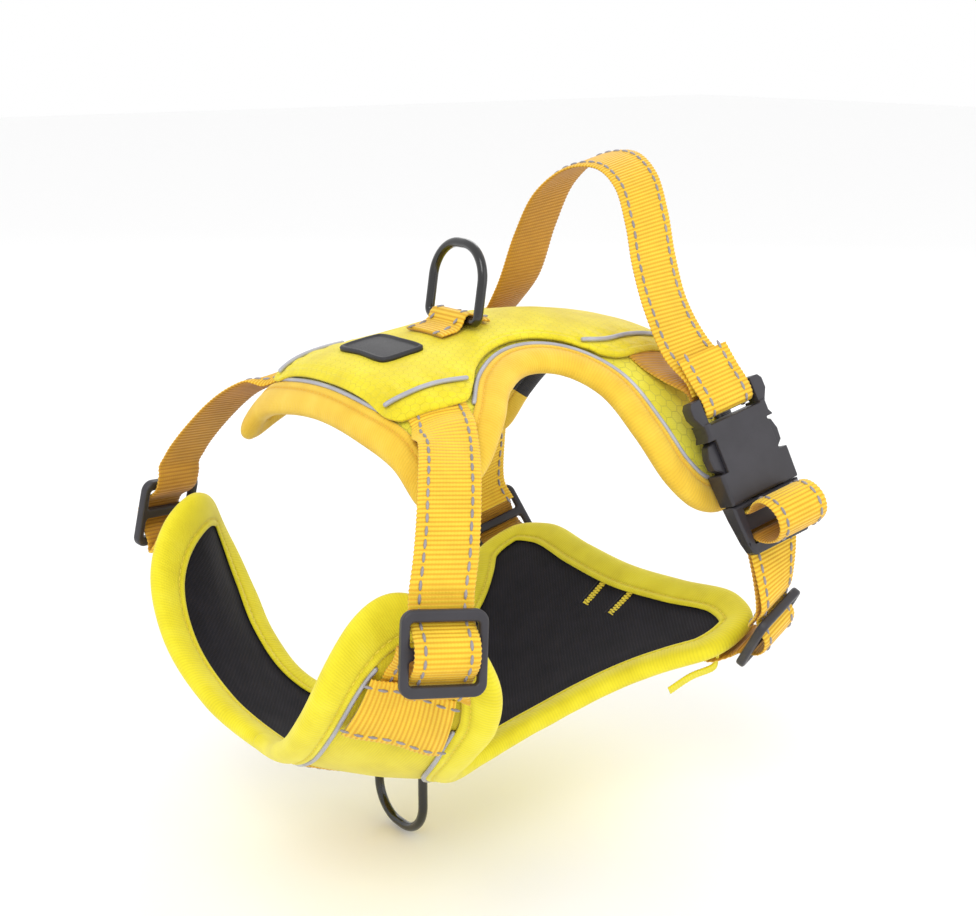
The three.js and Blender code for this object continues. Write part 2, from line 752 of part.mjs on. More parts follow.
// The bands across the chest plate's arms, from the neck edge to the armpit edge, over the neck straps.
const overStrap = onPadding + webbingThickness + 3.4 * webbingGap;
const bandStart = { low: point(70.5, -119.5, 0), high: point(100.5, -115, 0) };
const bandEnd = { low: point(86.5, -84, 0), high: point(117.5, -86, 0) };
const bandStations = [0, 0.25, 0.5, 0.75, 1].map((share) => {
  const low = bandStart.low.clone().lerp(bandEnd.low, share);
  const high = bandStart.high.clone().lerp(bandEnd.high, share);
  return Array.from({ length: rowPoints }, (unused, k) => {
    const at = high.clone().lerp(low, k / (rowPoints - 1));
    return onPanel(chestForm, at.x, at.y, overStrap);
  });
});
addPair("chest_band", ribbon(bandStations), colours.webbing);

// Side-release buckle.
const barTop = 2.5;
const barBottom = -4.2;
const socketEnd = -44;
const plugEnd = -67;

function outlineShape(half) {
  const shape = new THREE.Shape();
  half.forEach(({ x, y }, i) => (i === 0 ? shape.moveTo(x, y) : shape.lineTo(x, y)));
  [...half].reverse().forEach(({ x, y }) => shape.lineTo(-x, y));
  shape.closePath();
  return shape;
}

const socketOutline = [
  { x: 17.5, y: barTop },
  { x: 19, y: 0.5 },
  { x: 19, y: -4 },
  { x: 16.2, y: -9 },
  { x: 16.2, y: -13 },
  { x: 17.6, y: -15.5 },
  { x: 18, y: -32 },
  { x: 17.6, y: socketEnd },
];
const plugOutline = [
  { x: 17.6, y: -44.5 },
  { x: 17.4, y: -50 },
  { x: 16.4, y: -61 },
  { x: 15.4, y: -65.5 },
  { x: 13.8, y: plugEnd },
];
// The outer edge of one prong, from its root up to its tip, then its inner edge down.
const prongOutline = [
  { x: 15, y: -45.5 },
  { x: 14.8, y: -29.8 },
  { x: 18, y: -27 },
  { x: 18.4, y: -22 },
  { x: 17, y: -17.5 },
  { x: 13.5, y: -15.6 },
  { x: 10.6, y: -17.5 },
  { x: 10.2, y: -45.5 },
];

const opening = webbingWidth / 2 + 0.6;
function socketGeometry() {
  const tools = [
    box(point(-opening, -9, -8), point(opening, barBottom, 8)),
    box(point(-15.6, socketEnd - 1, -3.6), point(15.6, -13, 3.6)),
    box(point(13.6, -30, -8), point(22, -15.4, 8)),
    box(point(-22, -30, -8), point(-13.6, -15.4, 8)),
    box(point(-22, -8, 5), point(22, 4, 8)),
    box(point(-opening, -8, 2.5), point(opening, 4, 8)),
    box(point(-22, -8, -8), point(22, 4, -2.4)),
  ];
  const body = solidOf(plate(outlineShape(socketOutline), buckleThickness, 1));
  return geometryOf(tools.reduce((solid, tool) => solid.subtract(solidOf(tool)), body));
}

function plugGeometry() {
  const prongShape = new THREE.Shape();
  prongOutline.forEach(({ x, y }, i) => (i === 0 ? prongShape.moveTo(x, y) : prongShape.lineTo(x, y)));
  prongShape.closePath();
  const prong = plate(prongShape, 6.4, 0.6);
  const otherProng = geometryOf(solidOf(prong).mirror([1, 0, 0]));
  const joined = [
    prong,
    otherProng,
    box(point(-3, -45.5, -2.6), point(3, -22, 2.6)),
    box(point(-opening - 0.5, -56.5, -2.5), point(opening + 0.5, -50, 2.5)),
  ];
  const base = plate(outlineShape(plugOutline), 10, 1);
  const place = base.attributes.position;
  for (let i = 0; i < place.count; i += 1) {
    const share = (place.getY(i) + 44.5) / (plugEnd + 44.5);
    place.setZ(i, place.getZ(i) * (1 - 0.4 * share));
  }
  const window = box(point(-opening, -62.5, -8), point(opening, -46.5, 8));
  const frame = solidOf(base).subtract(solidOf(window));
  return geometryOf(joined.reduce((solid, piece) => solid.add(solidOf(piece)), frame));
}
addPair("buckle_socket", socketGeometry().applyMatrix4(buckleFrame), colours.plastic);
addPair("buckle_plug", plugGeometry().applyMatrix4(buckleFrame), colours.plastic);

// The girth tape, from under the overlay round the socket's bar and back over the handle's foot.
const tapeRoot = [
  stationOnPanel(saddleForm, 34, 50, onPadding, 3),
  stationOnPanel(saddleForm, 46, 51.5, onPadding, 3),
  stationOnPanel(saddleForm, 55, 53, onPadding + 0.8, 3),
  stationIn(buckleFrame, 6, -4.6),
];
const tapeLoop = [
  { y: 0, z: -4.1 },
  { y: -3.4, z: -4 },
  { y: -5.2, z: -3 },
  { y: -5.9, z: -0.4 },
  { y: -5.8, z: 1.8 },
  { y: -4.9, z: 3.4 },
  { y: -2.6, z: 4.3 },
  { y: 1, z: 4.3 },
  { y: 5, z: 3.2 },
  { y: 9, z: 1.7 },
  { y: 14, z: 0.4 },
  { y: 20, z: -1 },
];
const tapeStations = [...smoothed(tapeRoot, 2), ...tapeLoop.map(({ y, z }) => stationIn(buckleFrame, y, z))];
addPair("girth_tape", ribbon(tapeStations), colours.webbing);

// The girth strap: up behind the slider, round the plug's bar with a slack roll, down again, through the
// slider and onto the chest plate's rear corner.
const girthFrame = frameOf(point(97.5, 77, -125.5), point(-0.2, 0.92, 0.32), point(0.59, -0.235, 0.775));
addPair("girth_slider", sliderGeometry().applyMatrix4(girthFrame), colours.plastic);
const girthRoll = [
  { y: -67, z: -6.8 },
  { y: -61, z: -6.6 },
  { y: -55, z: -5.2 },
  { y: -50.2, z: -4.4 },
  { y: -48.2, z: -2.2 },
  { y: -49, z: 3 },
  { y: -48.6, z: 6.5 },
  { y: -45.8, z: 11 },
  { y: -45, z: 17 },
  { y: -47.5, z: 22.5 },
  { y: -52.5, z: 25.4 },
  { y: -58, z: 24 },
  { y: -61.6, z: 19 },
  { y: -62.6, z: 12 },
  { y: -61.6, z: 5.6 },
  { y: -59.6, z: 1 },
  { y: -59.6, z: -2.4 },
  { y: -61.6, z: -4.4 },
  { y: -67, z: -4.9 },
];
const girthStart = [stationIn(girthFrame, 7, -5.6), stationIn(girthFrame, 17, -5.8)];
const girthEnd = [
  stationOnPanel(chestForm, 78, 70, 9.4),
  stationOnPanel(chestForm, 71, 69, 7.8),
  stationOnPanel(chestForm, 62, 67, 7.8),
];
const girthStations = [
  ...girthStart,
  ...girthRoll.map(({ y, z }) => stationIn(buckleFrame, y, z)),
  ...weave(girthFrame),
  ...girthEnd,
];
addPair("girth_strap", ribbon(girthStations), colours.webbing);

// A folded tail of tape under the chest plate's left rear corner.
const tailWidth = 6;
const tailStations = [
  stationAt(point(76, 66, -148.5), point(0.35, -0.6, 0.7), tailWidth),
  stationAt(point(71, 57.5, -152.5), point(0.35, -0.6, 0.7), tailWidth),
  stationAt(point(66, 49, -159), point(0.35, -0.6, 0.7), tailWidth),
];
add("tape_tail", ribbon(smoothed(tailStations, 3), 1), colours.chestFabric);

// The chest plate's piping, across its neck edge and down each armpit edge, on the outer face.
const neckReach = chest.frontCorner * 0.6;
add("chest_neck_piping", pipingByEdge(chestForm, chest, -neckReach, neckReach, 24), colours.piping);
const armpitStart = chest.frontCorner + 2.4;
const chestSidePiping = pipingByEdge(chestForm, chest, armpitStart, chest.rearCorner - 1, 20);
addPair("chest_side_piping", chestSidePiping, colours.piping);

// The saddle's piping, across its neck edge and along each side.
const saddleReach = saddle.frontCorner * 0.4;
add("saddle_neck_piping", pipingByEdge(saddleForm, saddle, -saddleReach, saddleReach, 18), colours.piping);
const behindStrap = saddle.frontCorner + 2.2;
const saddleSidePiping = pipingByEdge(saddleForm, saddle, behindStrap, saddle.rearCorner - 0.6, 24);
addPair("saddle_side_piping", saddleSidePiping, colours.piping);

export default harness;
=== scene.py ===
import math
import bpy
import bmesh
import numpy as np
from mathutils import Matrix, Vector


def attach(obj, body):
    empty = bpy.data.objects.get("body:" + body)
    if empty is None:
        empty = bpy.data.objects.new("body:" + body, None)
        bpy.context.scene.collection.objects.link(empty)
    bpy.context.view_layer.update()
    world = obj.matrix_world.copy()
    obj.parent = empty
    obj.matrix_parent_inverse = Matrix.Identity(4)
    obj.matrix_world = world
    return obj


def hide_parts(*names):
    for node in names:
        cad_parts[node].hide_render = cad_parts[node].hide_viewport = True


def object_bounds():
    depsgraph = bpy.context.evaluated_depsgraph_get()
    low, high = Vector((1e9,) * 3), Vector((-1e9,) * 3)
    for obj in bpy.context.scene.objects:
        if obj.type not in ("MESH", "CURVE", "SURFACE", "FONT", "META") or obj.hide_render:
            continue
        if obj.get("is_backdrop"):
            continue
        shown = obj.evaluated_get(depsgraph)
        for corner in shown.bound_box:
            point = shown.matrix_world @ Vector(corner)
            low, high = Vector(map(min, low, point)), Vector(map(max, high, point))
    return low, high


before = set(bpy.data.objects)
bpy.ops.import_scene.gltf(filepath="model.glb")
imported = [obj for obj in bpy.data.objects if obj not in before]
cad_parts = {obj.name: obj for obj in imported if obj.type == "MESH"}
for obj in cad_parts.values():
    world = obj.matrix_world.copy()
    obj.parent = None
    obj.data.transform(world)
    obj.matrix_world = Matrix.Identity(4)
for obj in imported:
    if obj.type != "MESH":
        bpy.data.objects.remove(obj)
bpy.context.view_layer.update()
scene = bpy.context.scene
mm = 0.001  # shapes are worked out in millimetres and built in metres


cameraSettings = {"from": (547, -414.7, 126.4), "to": (63, -50, -36), "lens": 59.0, "sensor": 36.0}
cameraData = bpy.data.cameras.new("camera")
cameraData.lens = cameraSettings["lens"]
cameraData.sensor_width = cameraSettings["sensor"]
cameraData.clip_start, cameraData.clip_end = 0.01, 30
camera = bpy.data.objects.new("camera", cameraData)
scene.collection.objects.link(camera)
camera.location = Vector(cameraSettings["from"]) * mm
camera.rotation_euler = (Vector(cameraSettings["to"]) * mm - camera.location).to_track_quat("-Z",
        "Y").to_euler()
scene.camera = camera
print("camera placed")


def hexColour(text):
    parts = [int(text[i:i + 2], 16) / 255 for i in (0, 2, 4)]
    return [p / 12.92 if p <= 0.04045 else ((p + 0.055) / 1.055) ** 2.4 for p in parts] + [1.0]


def addNode(tree, kind, inputs=None, stops=None, **settings):
    made = tree.nodes.new(kind)
    for key, value in settings.items():
        setattr(made, key, value)
    for key, value in (inputs or {}).items():
        if isinstance(value, bpy.types.Node):
            value = value.outputs[0]
        if isinstance(value, str):
            value = hexColour(value)
        if isinstance(value, bpy.types.NodeSocket):
            tree.links.new(value, made.inputs[key])
        else:
            made.inputs[key].default_value = value
    for index, (place, shade) in enumerate(stops or ()):
        elements = made.color_ramp.elements
        element = elements[index] if index < len(elements) else elements.new(place)
        element.position = place
        element.color = hexColour(shade) if isinstance(shade, str) else (shade, shade, shade, 1)
    return made


def newMaterial(name, **constants):
    material = bpy.data.materials.new(name)
    material.use_nodes = True
    tree = material.node_tree
    tree.nodes.clear()
    shader = addNode(tree, "ShaderNodeBsdfPrincipled", constants)
    addNode(tree, "ShaderNodeOutputMaterial", {"Surface": shader})
    return material, tree, shader


# Sine of a coordinate with a real pitch, from 0 to 1
def ripple(tree, coordinate, pitch):
    turned = addNode(tree, "ShaderNodeMath", {0: coordinate, 1: 2 * math.pi / pitch}, operation="MULTIPLY")
    sine = addNode(tree, "ShaderNodeMath", {0: turned}, operation="SINE")
    return addNode(tree, "ShaderNodeMath", {0: sine, 1: 0.5, 2: 0.5}, operation="MULTIPLY_ADD")


def clothAxes(tree):
    uv = addNode(tree, "ShaderNodeUVMap", uv_map="cloth")
    return addNode(tree, "ShaderNodeSeparateXYZ", {0: uv}), uv


# The last steps of every cloth: its colour multiplied by painted shade between the threads (by random wear
# blotches on the webbing), and the threads' relief
def clothSurface(tree, shader, colour, paintedShadeAndWear, relief, depth, strength):
    coloured = addNode(tree, "ShaderNodeMix", {0: 1.0, 6: colour, 7: paintedShadeAndWear}, data_type="RGBA",
            blend_type="MULTIPLY")
    tree.links.new(coloured.outputs[2], shader.inputs["Base Color"])
    bump = addNode(tree, "ShaderNodeBump", {"Height": relief, "Distance": depth, "Strength": strength})
    tree.links.new(bump.outputs["Normal"], shader.inputs["Normal"])


# valley and light are painted shade in the rib valleys and a painted highlight on the rib crests; the inner
# face's two colours are painted shade
webbingLook = {
    "face": "F0BF22", "light": "F6CE36", "valley": "E0A618", "under": "D29C2E", "underValley": "B47C20",
    "ribPitch": 1.8, "warpPitch": 1.3,
}


# Woven nylon webbing: weft ribs across it, fine warp threads along it, a dull sheen; painted shade in the
# rib valleys, a painted highlight on the rib crests and painted shade on the inner face
def webbingMaterial():
    look = webbingLook
    material, tree, shader = newMaterial("woven nylon webbing", **{
        "Roughness": 0.62, "Sheen Weight": 0.25, "Sheen Roughness": 0.4, "IOR": 1.53,
        "Specular IOR Level": 0.4})
    axes, _ = clothAxes(tree)
    ribs = ripple(tree, axes.outputs["Y"], look["ribPitch"] * mm)
    warp = ripple(tree, axes.outputs["X"], look["warpPitch"] * mm)
    weave = addNode(tree, "ShaderNodeMath", {0: ribs, 1: warp}, operation="MULTIPLY")
    height = addNode(tree, "ShaderNodeMath", {0: weave, 1: 0.6, 2: ribs}, operation="MULTIPLY_ADD")
    body = addNode(tree, "ShaderNodeTexCoord")
    blotch = addNode(tree, "ShaderNodeTexNoise", {
        "Vector": body.outputs["Object"], "Scale": 90.0, "Detail": 3.0, "Roughness": 0.6})
    # painted shade in the rib valleys and a painted highlight on the rib crests
    face = addNode(tree, "ShaderNodeValToRGB", {"Fac": height},
            [(0.0, look["valley"]), (0.55, look["face"]), (1.4, look["light"])])
    # the inner face gets painted shade, darker still in its rib valleys
    under = addNode(tree, "ShaderNodeValToRGB", {"Fac": height},
            [(0.0, look["underValley"]), (0.8, look["under"])])
    side = addNode(tree, "ShaderNodeAttribute", attribute_name="under")
    shade = addNode(tree, "ShaderNodeMix", {0: side.outputs["Fac"], 6: face, 7: under},
            data_type="RGBA").outputs[2]
    worn = addNode(tree, "ShaderNodeValToRGB", {"Fac": blotch.outputs["Fac"]}, [(0.3, 0.88), (0.7, 1.0)])
    clothSurface(tree, shader, shade, worn, height, 0.00012, 0.6)
    return material


# Woven cloth with small threads and painted shade between them, and a honeycomb print where the look has
# one
def clothMaterial(name, look):
    material, tree, shader = newMaterial(name, **{
        "Roughness": look.get("roughness", 0.7), "Sheen Weight": look.get("sheen", 0.2),
        "Sheen Roughness": 0.5, "IOR": 1.5, "Specular IOR Level": look.get("specular", 0.35)})
    axes, uv = clothAxes(tree)
    warp = ripple(tree, axes.outputs["X"], look["thread"] * mm)
    weft = ripple(tree, axes.outputs["Y"], look["thread"] * mm)
    weave = addNode(tree, "ShaderNodeMath", {0: warp, 1: weft}, operation="MULTIPLY")
    noise = addNode(tree, "ShaderNodeTexNoise", {"Vector": uv.outputs[0], "Scale": 60.0, "Detail": 4.0})
    base = addNode(tree, "ShaderNodeValToRGB", {"Fac": noise.outputs["Fac"]},
            [(0.3, look["dark"]), (0.55, look["base"]), (0.8, look["light"])])
    height = weave
    if "cell" in look:
        cell = honeycomb(tree, uv, look["cell"] * mm)
        line = addNode(tree, "ShaderNodeValToRGB", {"Fac": cell}, [(0.0, 1.0), (look["line"], 0.0)])
        base = addNode(tree, "ShaderNodeMix", {0: line, 6: base, 7: look["print"]},
                data_type="RGBA").outputs[2]
        height = addNode(tree, "ShaderNodeMath", {0: line, 1: -1.5, 2: weave}, operation="MULTIPLY_ADD")
    # painted shade between the threads
    paintedWeaveShade = addNode(tree, "ShaderNodeValToRGB", {"Fac": weave}, [(0.0, look.get("paintedGapShade", 0.93)), (0.8, 1.0)])
    clothSurface(tree, shader, base, paintedWeaveShade, height, look.get("bump", 0.00012), look.get("strength", 0.6))
    return material


# Distance from the nearest edge of a honeycomb cell, 0 on the edge and 0.5 in the middle
def honeycomb(tree, uv, size):
    scaled = addNode(tree, "ShaderNodeVectorMath", {0: uv.outputs[0], "Scale": 1 / size}, operation="SCALE")
    period = (1.0, math.sqrt(3), 1.0)
    half = (0.5, math.sqrt(3) / 2, 0.5)
    cells = []
    for shift in ((0.0, 0.0, 0.0), half):
        moved = addNode(tree, "ShaderNodeVectorMath", {0: scaled, 1: shift}, operation="SUBTRACT")
        wrapped = addNode(tree, "ShaderNodeVectorMath", {0: moved, 1: (0.0, 0.0, 0.0), 2: period},
                operation="WRAP")
        centred = addNode(tree, "ShaderNodeVectorMath", {0: wrapped, 1: (half[0], half[1], 0.0)},
                operation="SUBTRACT")
        sides = addNode(tree, "ShaderNodeVectorMath", {0: centred}, operation="ABSOLUTE")
        slant = addNode(tree, "ShaderNodeVectorMath", {0: sides, 1: (0.5, math.sqrt(3) / 2, 0.0)},
                operation="DOT_PRODUCT")
        parts = addNode(tree, "ShaderNodeSeparateXYZ", {0: sides})
        cells.append(addNode(tree, "ShaderNodeMath", {0: slant.outputs["Value"], 1: parts.outputs["X"]},
                operation="MAXIMUM"))
    nearest = addNode(tree, "ShaderNodeMath", {0: cells[0], 1: cells[1]}, operation="MINIMUM")
    return addNode(tree, "ShaderNodeMath", {0: 0.5, 1: nearest}, operation="SUBTRACT")


# Cotton twill: slanted lines with painted shade between them, black with a dusty sheen
def twillMaterial():
    material, tree, shader = newMaterial("black twill", **{
        "Roughness": 0.9, "Sheen Weight": 0.06, "Sheen Roughness": 0.5, "IOR": 1.5,
        "Specular IOR Level": 0.15})
    axes, uv = clothAxes(tree)
    slant = addNode(tree, "ShaderNodeMath", {0: axes.outputs["X"], 1: 0.7, 2: axes.outputs["Y"]},
            operation="MULTIPLY_ADD")
    lines = ripple(tree, slant, 1.6 * mm)
    threads = ripple(tree, axes.outputs["X"], 0.9 * mm)
    height = addNode(tree, "ShaderNodeMath", {0: lines, 1: threads}, operation="MULTIPLY")
    noise = addNode(tree, "ShaderNodeTexNoise", {"Vector": uv.outputs[0], "Scale": 80.0, "Detail": 5.0,
            "Roughness": 0.65})
    base = addNode(tree, "ShaderNodeValToRGB", {"Fac": noise.outputs["Fac"]},
            [(0.3, "1C1B22"), (0.7, "29272F")])
    # painted shade between the twill lines
    paintedWeaveShade = addNode(tree, "ShaderNodeValToRGB", {"Fac": height}, [(0.0, 0.62), (0.9, 1.0)])
    clothSurface(tree, shader, base, paintedWeaveShade, height, 0.00016, 0.7)
    return material


# Binding tape: fine ribs across its width with painted shade between them, and painted shade in the sewn
# crease
def tapeMaterial(name, look):
    material, tree, shader = newMaterial(name, **{
        "Roughness": 0.72, "Sheen Weight": 0.2, "Sheen Roughness": 0.5, "IOR": 1.5,
        "Specular IOR Level": 0.3})
    axes, uv = clothAxes(tree)
    ribs = ripple(tree, axes.outputs["Y"], 1.3 * mm)
    threads = ripple(tree, axes.outputs["X"], 1.0 * mm)
    height = addNode(tree, "ShaderNodeMath", {0: threads, 1: 0.4, 2: ribs}, operation="MULTIPLY_ADD")
    noise = addNode(tree, "ShaderNodeTexNoise", {"Vector": uv.outputs[0], "Scale": 70.0, "Detail": 3.0})
    base = addNode(tree, "ShaderNodeValToRGB", {"Fac": noise.outputs["Fac"]},
            [(0.25, look["dark"]), (0.55, look["base"]), (0.85, look["light"])])
    # the crease colour is painted shade in the sewn crease
    crease = addNode(tree, "ShaderNodeAttribute", attribute_name="crease")
    base = addNode(tree, "ShaderNodeMix", {0: crease.outputs["Fac"], 6: base, 7: look["crease"]},
            data_type="RGBA").outputs[2]
    # painted shade between the ribs
    paintedWeaveShade = addNode(tree, "ShaderNodeValToRGB", {"Fac": ribs}, [(0.0, 0.93), (0.8, 1.0)])
    clothSurface(tree, shader, base, paintedWeaveShade, height, 0.00012, 0.6)
    return material


# Plain surfaces with a fine moulded or coated grain
def grainMaterial(name, look, **constants):
    material, tree, shader = newMaterial(name, **constants)
    body = addNode(tree, "ShaderNodeTexCoord")
    grain = addNode(tree, "ShaderNodeTexNoise", {
        "Vector": body.outputs["Object"], "Scale": 1 / (look["grain"] * mm), "Detail": 2.0})
    broad = addNode(tree, "ShaderNodeTexNoise", {"Vector": body.outputs["Object"], "Scale": 60.0,
            "Detail": 3.0})
    base = addNode(tree, "ShaderNodeValToRGB", {"Fac": broad.outputs["Fac"]},
            [(0.3, look["dark"]), (0.7, look["light"])])
    tree.links.new(base.outputs["Color"], shader.inputs["Base Color"])
    rough = addNode(tree, "ShaderNodeValToRGB", {"Fac": grain.outputs["Fac"]},
            [(0.3, look["smooth"]), (0.7, look["rough"])])
    tree.links.new(rough.outputs["Color"], shader.inputs["Roughness"])
    bump = addNode(tree, "ShaderNodeBump", {"Height": grain.outputs["Fac"], "Distance": look["depth"] * mm,
            "Strength": 0.5})
    tree.links.new(bump.outputs["Normal"], shader.inputs["Normal"])
    return material


looks = {
    "webbing": webbingMaterial(),
    "lining": twillMaterial(),
    "saddle": clothMaterial("printed polyester cloth", {
        "base": "F0E640", "light": "F6EE5C", "dark": "E6DA32", "print": "CFC63A", "thread": 0.9,
        "cell": 5.2, "line": 0.07}),
    "overlay": clothMaterial("coated polyester cloth", {
        "base": "F0DE14", "light": "F6E830", "dark": "E2CC0E", "print": "DCCB18", "thread": 0.8,
        "cell": 3.6,
        "line": 0.06, "roughness": 0.6, "sheen": 0.15}),
    # the gap value sets the painted shade between the threads
    "chest": clothMaterial("woven polyester cloth", {
        "base": "EBDA1E", "light": "F2E436", "dark": "DCCA18", "thread": 1.1, "paintedGapShade": 0.88}),
    # each tape's crease colour is painted shade in its sewn crease
    "amberTape": tapeMaterial("amber binding tape", {
        "base": "EFC63A", "light": "F4D24E", "dark": "E6B82E", "crease": "DAAA28"}),
    "yellowTape": tapeMaterial("yellow binding tape", {
        "base": "EEE024", "light": "F4E83A", "dark": "E2D21C", "crease": "CDBD18"}),
    "blackTape": tapeMaterial("black binding tape", {
        "base": "232228", "light": "2E2C34", "dark": "19181D", "crease": "121116"}),
    "piping": grainMaterial("reflective cord", {
        "dark": "A2A2AB", "light": "BDBDC6", "grain": 0.35, "smooth": 0.35, "rough": 0.55, "depth": 0.1},
        **{"Metallic": 0.35}),
    "greyThread": grainMaterial("reflective thread", {
        "dark": "8D888E", "light": "A39EA3", "grain": 0.3, "smooth": 0.4, "rough": 0.6, "depth": 0.08},
        **{"Metallic": 0.2}),
    "yellowThread": grainMaterial("yellow thread", {
        "dark": "E0C62A", "light": "F0DC46", "grain": 0.3, "smooth": 0.6, "rough": 0.75, "depth": 0.05}),
    "amberThread": grainMaterial("amber thread", {
        "dark": "DDA92C", "light": "EFBE40", "grain": 0.3, "smooth": 0.6, "rough": 0.75, "depth": 0.05}),
    "blackThread": grainMaterial("black thread", {
        "dark": "17161B", "light": "24232A", "grain": 0.3, "smooth": 0.6, "rough": 0.75, "depth": 0.05}),
    "acetal": grainMaterial("moulded acetal", {
        "dark": "2E2C31", "light": "37353B", "grain": 0.5, "smooth": 0.38, "rough": 0.5, "depth": 0.03},
        **{"IOR": 1.48}),
    "steel": grainMaterial("black coated steel", {
        "dark": "0D0D0F", "light": "141416", "grain": 0.8, "smooth": 0.16, "rough": 0.26, "depth": 0.01},
        **{"IOR": 1.5, "Coat Weight": 0.4, "Coat Roughness": 0.1}),
    "rubber": grainMaterial("moulded rubber", {
        "dark": "18171B", "light": "222126", "grain": 0.5, "smooth": 0.45, "rough": 0.6, "depth": 0.06},
        **{"IOR": 1.52}),
}
print("materials made")


def newObject(name, points, faces, material, smooth=True, uv=None, fields=None, edges=()):
    mesh = bpy.data.meshes.new(name)
    mesh.from_pydata((np.asarray(points, float) * mm).tolist(), list(edges), faces)
    if uv is not None:
        layerUv = mesh.uv_layers.new(name="cloth")
        loops = np.zeros(len(mesh.loops), np.int32)
        mesh.loops.foreach_get("vertex_index", loops)
        layerUv.data.foreach_set("uv", (np.asarray(uv, float) * mm)[loops].astype(np.float32).ravel())
    for label, values in (fields or {}).items():
        mesh.attributes.new(label, "FLOAT", "POINT").data.foreach_set("value",
                np.asarray(values, np.float32))
    if material is not None:
        mesh.materials.append(material)
    if smooth:
        mesh.shade_smooth()
    made = bpy.data.objects.new(name, mesh)
    scene.collection.objects.link(made)
    return made


# A closed body through loops of points, rows x loop size x 3, capped at both ends unless it closes on
# itself
def lofted(loops, closed=False):
    rows, size = loops.shape[:2]
    points = loops.reshape(-1, 3)
    faces = []
    spans = rows if closed else rows - 1
    for i in range(spans):
        a, b = i * size, (i + 1) % rows * size
        faces += [(a + k, a + (k + 1) % size, b + (k + 1) % size, b + k) for k in range(size)]
    if not closed:
        end = (rows - 1) * size
        for k in range(size // 2 - 1):
            back = size - 1 - k
            faces.append((k + 1, k, back, back - 1))
            faces.append((end + k, end + k + 1, end + back - 1, end + back))
    corners = np.array([(f[0], f[1], f[2]) for f in faces] + [(f[0], f[2], f[3]) for f in faces])
    a, b, c = points[corners[:, 0]], points[corners[:, 1]], points[corners[:, 2]]
    volume = np.einsum("ij,ij->i", a, np.cross(b, c)).sum()
    if volume < 0:
        faces = [f[::-1] for f in faces]
    return points, faces


# Places on a smooth centripetal curve, counted in points from the first
def curveAt(points, places, closed=False):
    points = np.asarray(points, float)
    count = len(points)
    places = np.asarray(places, float)
    if closed:
        index = np.floor(places).astype(int)
        t = places - index
        pick = lambda k: points[(index + k) % count]
        p0, p1, p2, p3 = pick(-1), pick(0), pick(1), pick(2)
    else:
        index = np.clip(np.floor(places).astype(int), 0, count - 2)
        t = places - index
        padded = np.concatenate([[2 * points[0] - points[1]], points, [2 * points[-1] - points[-2]]])
        p0, p1, p2, p3 = (padded[index + k] for k in range(4))
    span = lambda a, b: np.maximum(np.sqrt(np.linalg.norm(b - a, axis=-1, keepdims=True)), 1e-4)
    d0, d1, d2 = span(p0, p1), span(p1, p2), span(p2, p3)
    m1 = ((p1 - p0) / d0 - (p2 - p0) / (d0 + d1) + (p2 - p1) / d1) * d1
    m2 = ((p2 - p1) / d1 - (p3 - p1) / (d1 + d2) + (p3 - p2) / d2) * d1
    t = t.reshape(t.shape + (1,) * (p1.ndim - t.ndim))
    c2 = -3 * p1 + 3 * p2 - 2 * m1 - m2
    c3 = 2 * p1 - 2 * p2 + m1 + m2
    return p1 + m1 * t + c2 * t ** 2 + c3 * t ** 3


# Each row: cloth length, y, z, slope in degrees at the reach, and how much the ridge is flattened
dipReach = 70
saddleForm = {"turn": -1, "reach": 140, "rows": [
    (-104, -86, -31, 88, 2), (-92, -85, -21, 89, 3), (-80, -79, -11, 91, 4), (-66, -67, -5, 91, 5.5),
    (-40, -41.5, -1.5, 90, 5), (0, -1.5, 0, 90, 0), (36, 34.5, 0, 94, 2), (62, 60.5, -3, 98, 4),
    (96, 92.5, -14, 100, 4)]}
chestForm = {"turn": 1, "reach": 150, "rows": [
    (-142, -142, -148, 117, 0), (-122, -122, -158, 115, 0), (-102, -102, -168, 104, 0),
    (-80, -80, -176, 78, 0),
    (-52, -52, -181.5, 67, 0), (-10, -10, -171, 56, 0), (30, 30, -155.5, 40, 0), (60, 60, -141, 20, 0),
    (84, 84, -126, 8, 0), (100, 100, -114, 8, 0)]}


def tableAt(rows, column, at):
    keys = np.array([row[0] for row in rows], float)
    values = np.array([row[column] for row in rows], float)
    last = len(rows) - 1
    before, after = np.maximum(np.arange(last + 1) - 1, 0), np.minimum(np.arange(last + 1) + 1, last)
    slopes = (values[after] - values[before]) / (keys[after] - keys[before])
    at = np.clip(at, keys[0], keys[-1])
    row = np.clip(np.searchsorted(keys, at, side="left") - 1, 0, last - 1)
    span = keys[row + 1] - keys[row]
    t = (at - keys[row]) / span
    rise = t * t * (3 - 2 * t)
    leave = t * (1 - t) ** 2 * span * slopes[row]
    arrive = t * t * (t - 1) * span * slopes[row + 1]
    return values[row] + (values[row + 1] - values[row]) * rise + leave + arrive


def bent(form, across, along):
    across, along = np.broadcast_arrays(np.asarray(across, float), np.asarray(along, float))
    curl = np.radians(tableAt(form["rows"], 3, along)) / form["reach"]
    nearness = 1 - np.minimum(np.abs(across) / dipReach, 1)
    dip = tableAt(form["rows"], 4, along) * np.sin(nearness * math.pi / 2) ** 2
    angle = across * curl
    z = tableAt(form["rows"], 2, along) - dip + form["turn"] * (1 - np.cos(angle)) / curl
    return np.stack([np.sin(angle) / curl, tableAt(form["rows"], 1, along), z], -1)


def outOf(form, across, along):
    step = 0.5
    sideways = bent(form, across + step, along) - bent(form, across - step, along)
    rearwards = bent(form, across, along + step) - bent(form, across, along - step)
    out = np.cross(sideways, rearwards) * -form["turn"]
    return out / np.linalg.norm(out, axis=-1, keepdims=True)


def onPanel(form, across, along, height):
    across, along = np.asarray(across, float), np.asarray(along, float)
    return bent(form, across, along) + outOf(form, across, along) * np.asarray(height, float)[..., None]


